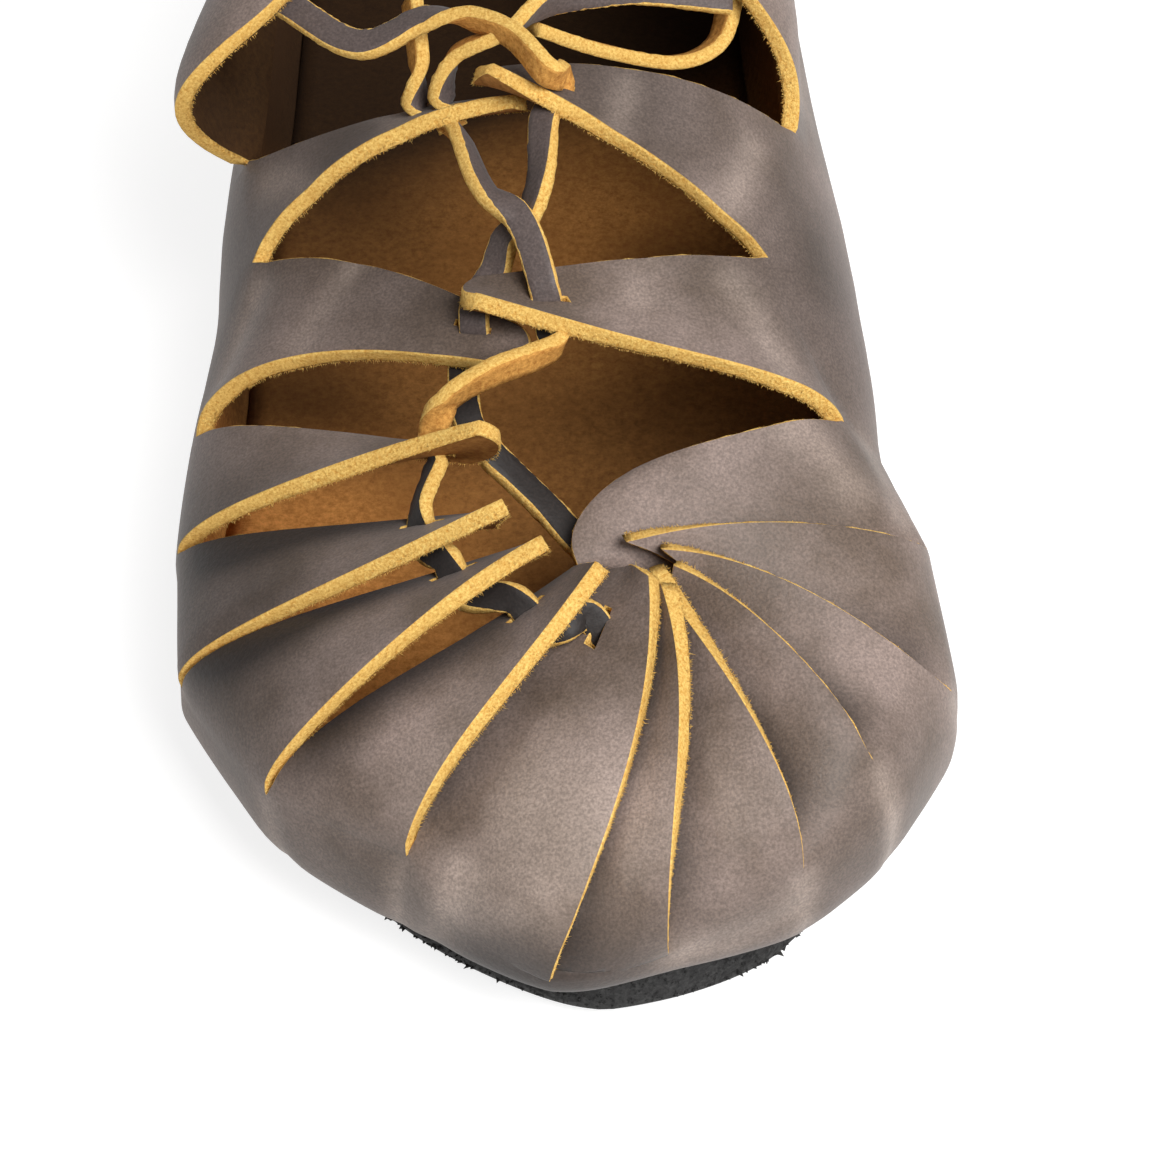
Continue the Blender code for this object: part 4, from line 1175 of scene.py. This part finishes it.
class TIESHOE_OT_laces(bpy.types.Operator):
    """Run the flat thong through the slots of the strips and straps"""
    bl_idname = "tieshoe.laces"
    bl_label = "Laces"

    def execute(self, context):
        leather = context.scene.tieshoe_leather
        lace = context.scene.tieshoe_lace
        sides = [fibrous_leather("thong flesh", lace.flesh, lace.flesh_dark,
                                 grain_mm=0.7, relief=0.6, sheen=0.1, cloud=0.4),
                 edge_material(leather)]
        worn = [oiled_nubuck("thong grain", lace.grain, lace.grain, lace.oiled,
                             lace.grain_light)] + sides
        # painted shade: a darker copy of the thong's grain for the strands in the toe and the gather
        dark = [oiled_nubuck("shaded thong grain", lace.oiled, lace.oiled, lace.oiled,
                             lace.shaded_grain_light)] + sides
        toe_nodes = ["toe_thong_L1_L2", "toe_thong_L2_L3", "toe_thong_L3_L4", "toe_thong_L4_C1"]
        groups = (("toe_thong", TOE_THONG, dark, toe_nodes + ["lace_to_L1"]),
                  ("gather_lace", GATHER_LACE, dark, ["lace_to_R2"]),
                  ("crossed_lace", CROSSED_LACE, worn, ["lace_crossing"]),
                  ("top_lace", TOP_LACE, worn, ["lace_top"]))
        for name, strands, materials, nodes in groups:
            points, faces, finish = lace_strands(strands, lace)
            add_piece(name, points, faces, materials, finish, nodes)
        run, ahead, face = strand(LOOP_STOPS)
        points, faces, finish = thong(run, ahead, face, lace, np.random.default_rng(SEEDS["loop"]))
        loop = add_piece("lace_loop_thong", points, faces, worn, finish, ["lace_loop"])
        return {"FINISHED"}


class TIESHOE_OT_insole(bpy.types.Operator):
    """Build the suede insole"""
    bl_idname = "tieshoe.insole"
    bl_label = "Insole"

    def execute(self, context):
        sole = context.scene.tieshoe_sole
        low = FEATHER_Z + LEATHER / 2 + SEAT_GAP
        points, faces = bed(inset=INSOLE_INSET, soft=None, low=low, thickness=INSOLE_THICK,
                            rounding=0.6, stations=160, columns=24, rows=2, crumb=0.03,
                            top=wall_lines(low + INSOLE_THICK))
        suede = fibrous_leather("insole suede", sole.suede, sole.suede_dark,
                                grain_mm=1.0, relief=0.5, sheen=0.2)
        piece = add_piece("insole_suede", points, faces, [suede], [0] * len(faces), ["insole"])
        # painted light and shade of the insole
        point_values(piece.data, "painted_light_and_shade", inner_light_and_shade(points))
        return {"FINISHED"}


class TIESHOE_OT_outsole(bpy.types.Operator):
    """Build the crepe rubber outsole"""
    bl_idname = "tieshoe.outsole"
    bl_label = "Outsole"

    def execute(self, context):
        sole = context.scene.tieshoe_sole
        points, faces = bed(inset=SOLE_INSET, soft=SOLE_SOFT, low=0.0, thickness=SOLE_THICK,
                            rounding=0.8, stations=420, columns=30, rows=12,
                            crumb=sole.crumb / MM)
        grit, grit_faces = crumbs(sole.crumbs)
        faces += [tuple(corner + len(points) for corner in face) for face in grit_faces]
        points = np.concatenate([points, grit])
        rubber = crepe_rubber("crepe rubber", sole.rubber, sole.rubber_light)
        add_piece("crepe_sole", points, faces, [rubber], [0] * len(faces), ["outsole"])
        return {"FINISHED"}


class TIESHOE_OT_stage(bpy.types.Operator):
    """Set up the pale floor, the soft lights and the camera"""
    bl_idname = "tieshoe.stage"
    bl_label = "Studio"

    def execute(self, context):
        studio = context.scene.tieshoe_studio
        add_floor(studio)
        add_light("key light", KEY_PLACE, KEY_SIZE, studio.key)
        add_light("back light", BACK_PLACE, BACK_SIZE, studio.back)
        world = bpy.data.worlds.new("room")
        world.use_nodes = True
        set_inputs(world.node_tree, world.node_tree.nodes["Background"], {
            "Color": rgba(linear("FFFFFF")), "Strength": studio.sky})
        context.scene.world = world
        context.scene.view_settings.view_transform = "Standard"
        add_camera(studio)
        return {"FINISHED"}


def add_floor(studio):
    """Wide pale floor under the shoe."""
    mesh = bpy.data.meshes.new("floor")
    signs = ((-1, -1), (1, -1), (1, 1), (-1, 1))
    mesh.from_pydata([(x * FLOOR_HALF, y * FLOOR_HALF, 0.0) for x, y in signs], [], [(0, 1, 2, 3)])
    material, tree, shader = new_material("pale paper floor")
    set_inputs(tree, shader, {
        "Base Color": rgba(studio.floor), "Roughness": 0.9,
        "Emission Color": rgba(studio.floor_light), "Emission Strength": studio.glow})
    mesh.materials.append(material)
    floor = bpy.data.objects.new("floor", mesh)
    bpy.context.scene.collection.objects.link(floor)


def add_light(name, place, size, power):
    """Square soft light that looks at the middle of the shoe."""
    light = bpy.data.lights.new(name, "AREA")
    light.size = size
    light.energy = power
    lamp = bpy.data.objects.new(name, light)
    lamp.location = place
    aim = Vector(LIT_PLACE) - lamp.location
    lamp.rotation_euler = aim.to_track_quat("-Z", "Y").to_euler()
    bpy.context.scene.collection.objects.link(lamp)


def add_camera(studio):
    """Camera in front of the toe, looking down on it."""
    camera = bpy.data.cameras.new("camera")
    camera.lens = studio.lens
    camera.sensor_width = SENSOR_WIDE
    camera.clip_end = VIEW_END
    view = bpy.data.objects.new("camera", camera)
    pitch, yaw = np.radians(CAMERA_PITCH), np.radians(CAMERA_YAW)
    ahead = Vector((np.sin(yaw) * np.cos(pitch), np.cos(yaw) * np.cos(pitch), -np.sin(pitch)))
    view.location = Vector(CAMERA_PLACE) * MM
    view.rotation_euler = ahead.to_track_quat("-Z", "Y").to_euler()
    bpy.context.scene.collection.objects.link(view)
    bpy.context.scene.camera = view


class TIESHOE_PT_panel(bpy.types.Panel):
    """Pieces of the tie shoe and their settings"""
    bl_idname = "TIESHOE_PT_panel"
    bl_label = "Tie shoe"
    bl_space_type = "VIEW_3D"
    bl_region_type = "UI"
    bl_category = "Tie shoe"

    def draw(self, context):
        for operator in OPERATORS:
            self.layout.operator(operator.bl_idname)
        for name in SETTINGS:
            settings = getattr(context.scene, name)
            box = self.layout.box()
            for key in settings.__annotations__:
                box.prop(settings, key)


SETTINGS = {"tieshoe_leather": LeatherSettings, "tieshoe_lace": LaceSettings,
            "tieshoe_sole": SoleSettings, "tieshoe_studio": StudioSettings}
OPERATORS = (TIESHOE_OT_stage, TIESHOE_OT_laces, TIESHOE_OT_upper, TIESHOE_OT_fibres,
             TIESHOE_OT_insole, TIESHOE_OT_outsole)


def register():
    """Register the settings, operators and panel."""
    for name, group in SETTINGS.items():
        bpy.utils.register_class(group)
        setattr(bpy.types.Scene, name, PointerProperty(type=group))
    for kind in OPERATORS + (TIESHOE_PT_panel,):
        bpy.utils.register_class(kind)


def unregister():
    """Remove what register added."""
    for kind in reversed(OPERATORS + (TIESHOE_PT_panel,)):
        bpy.utils.unregister_class(kind)
    for name, group in reversed(SETTINGS.items()):
        delattr(bpy.types.Scene, name)
        bpy.utils.unregister_class(group)


def main():
    """Build the shoe and its studio."""
    register()
    bpy.ops.tieshoe.stage()
    bpy.ops.tieshoe.laces()
    bpy.ops.tieshoe.upper()
    bpy.ops.tieshoe.fibres()
    bpy.ops.tieshoe.insole()
    bpy.ops.tieshoe.outsole()


if __name__ == "__main__":
    main()
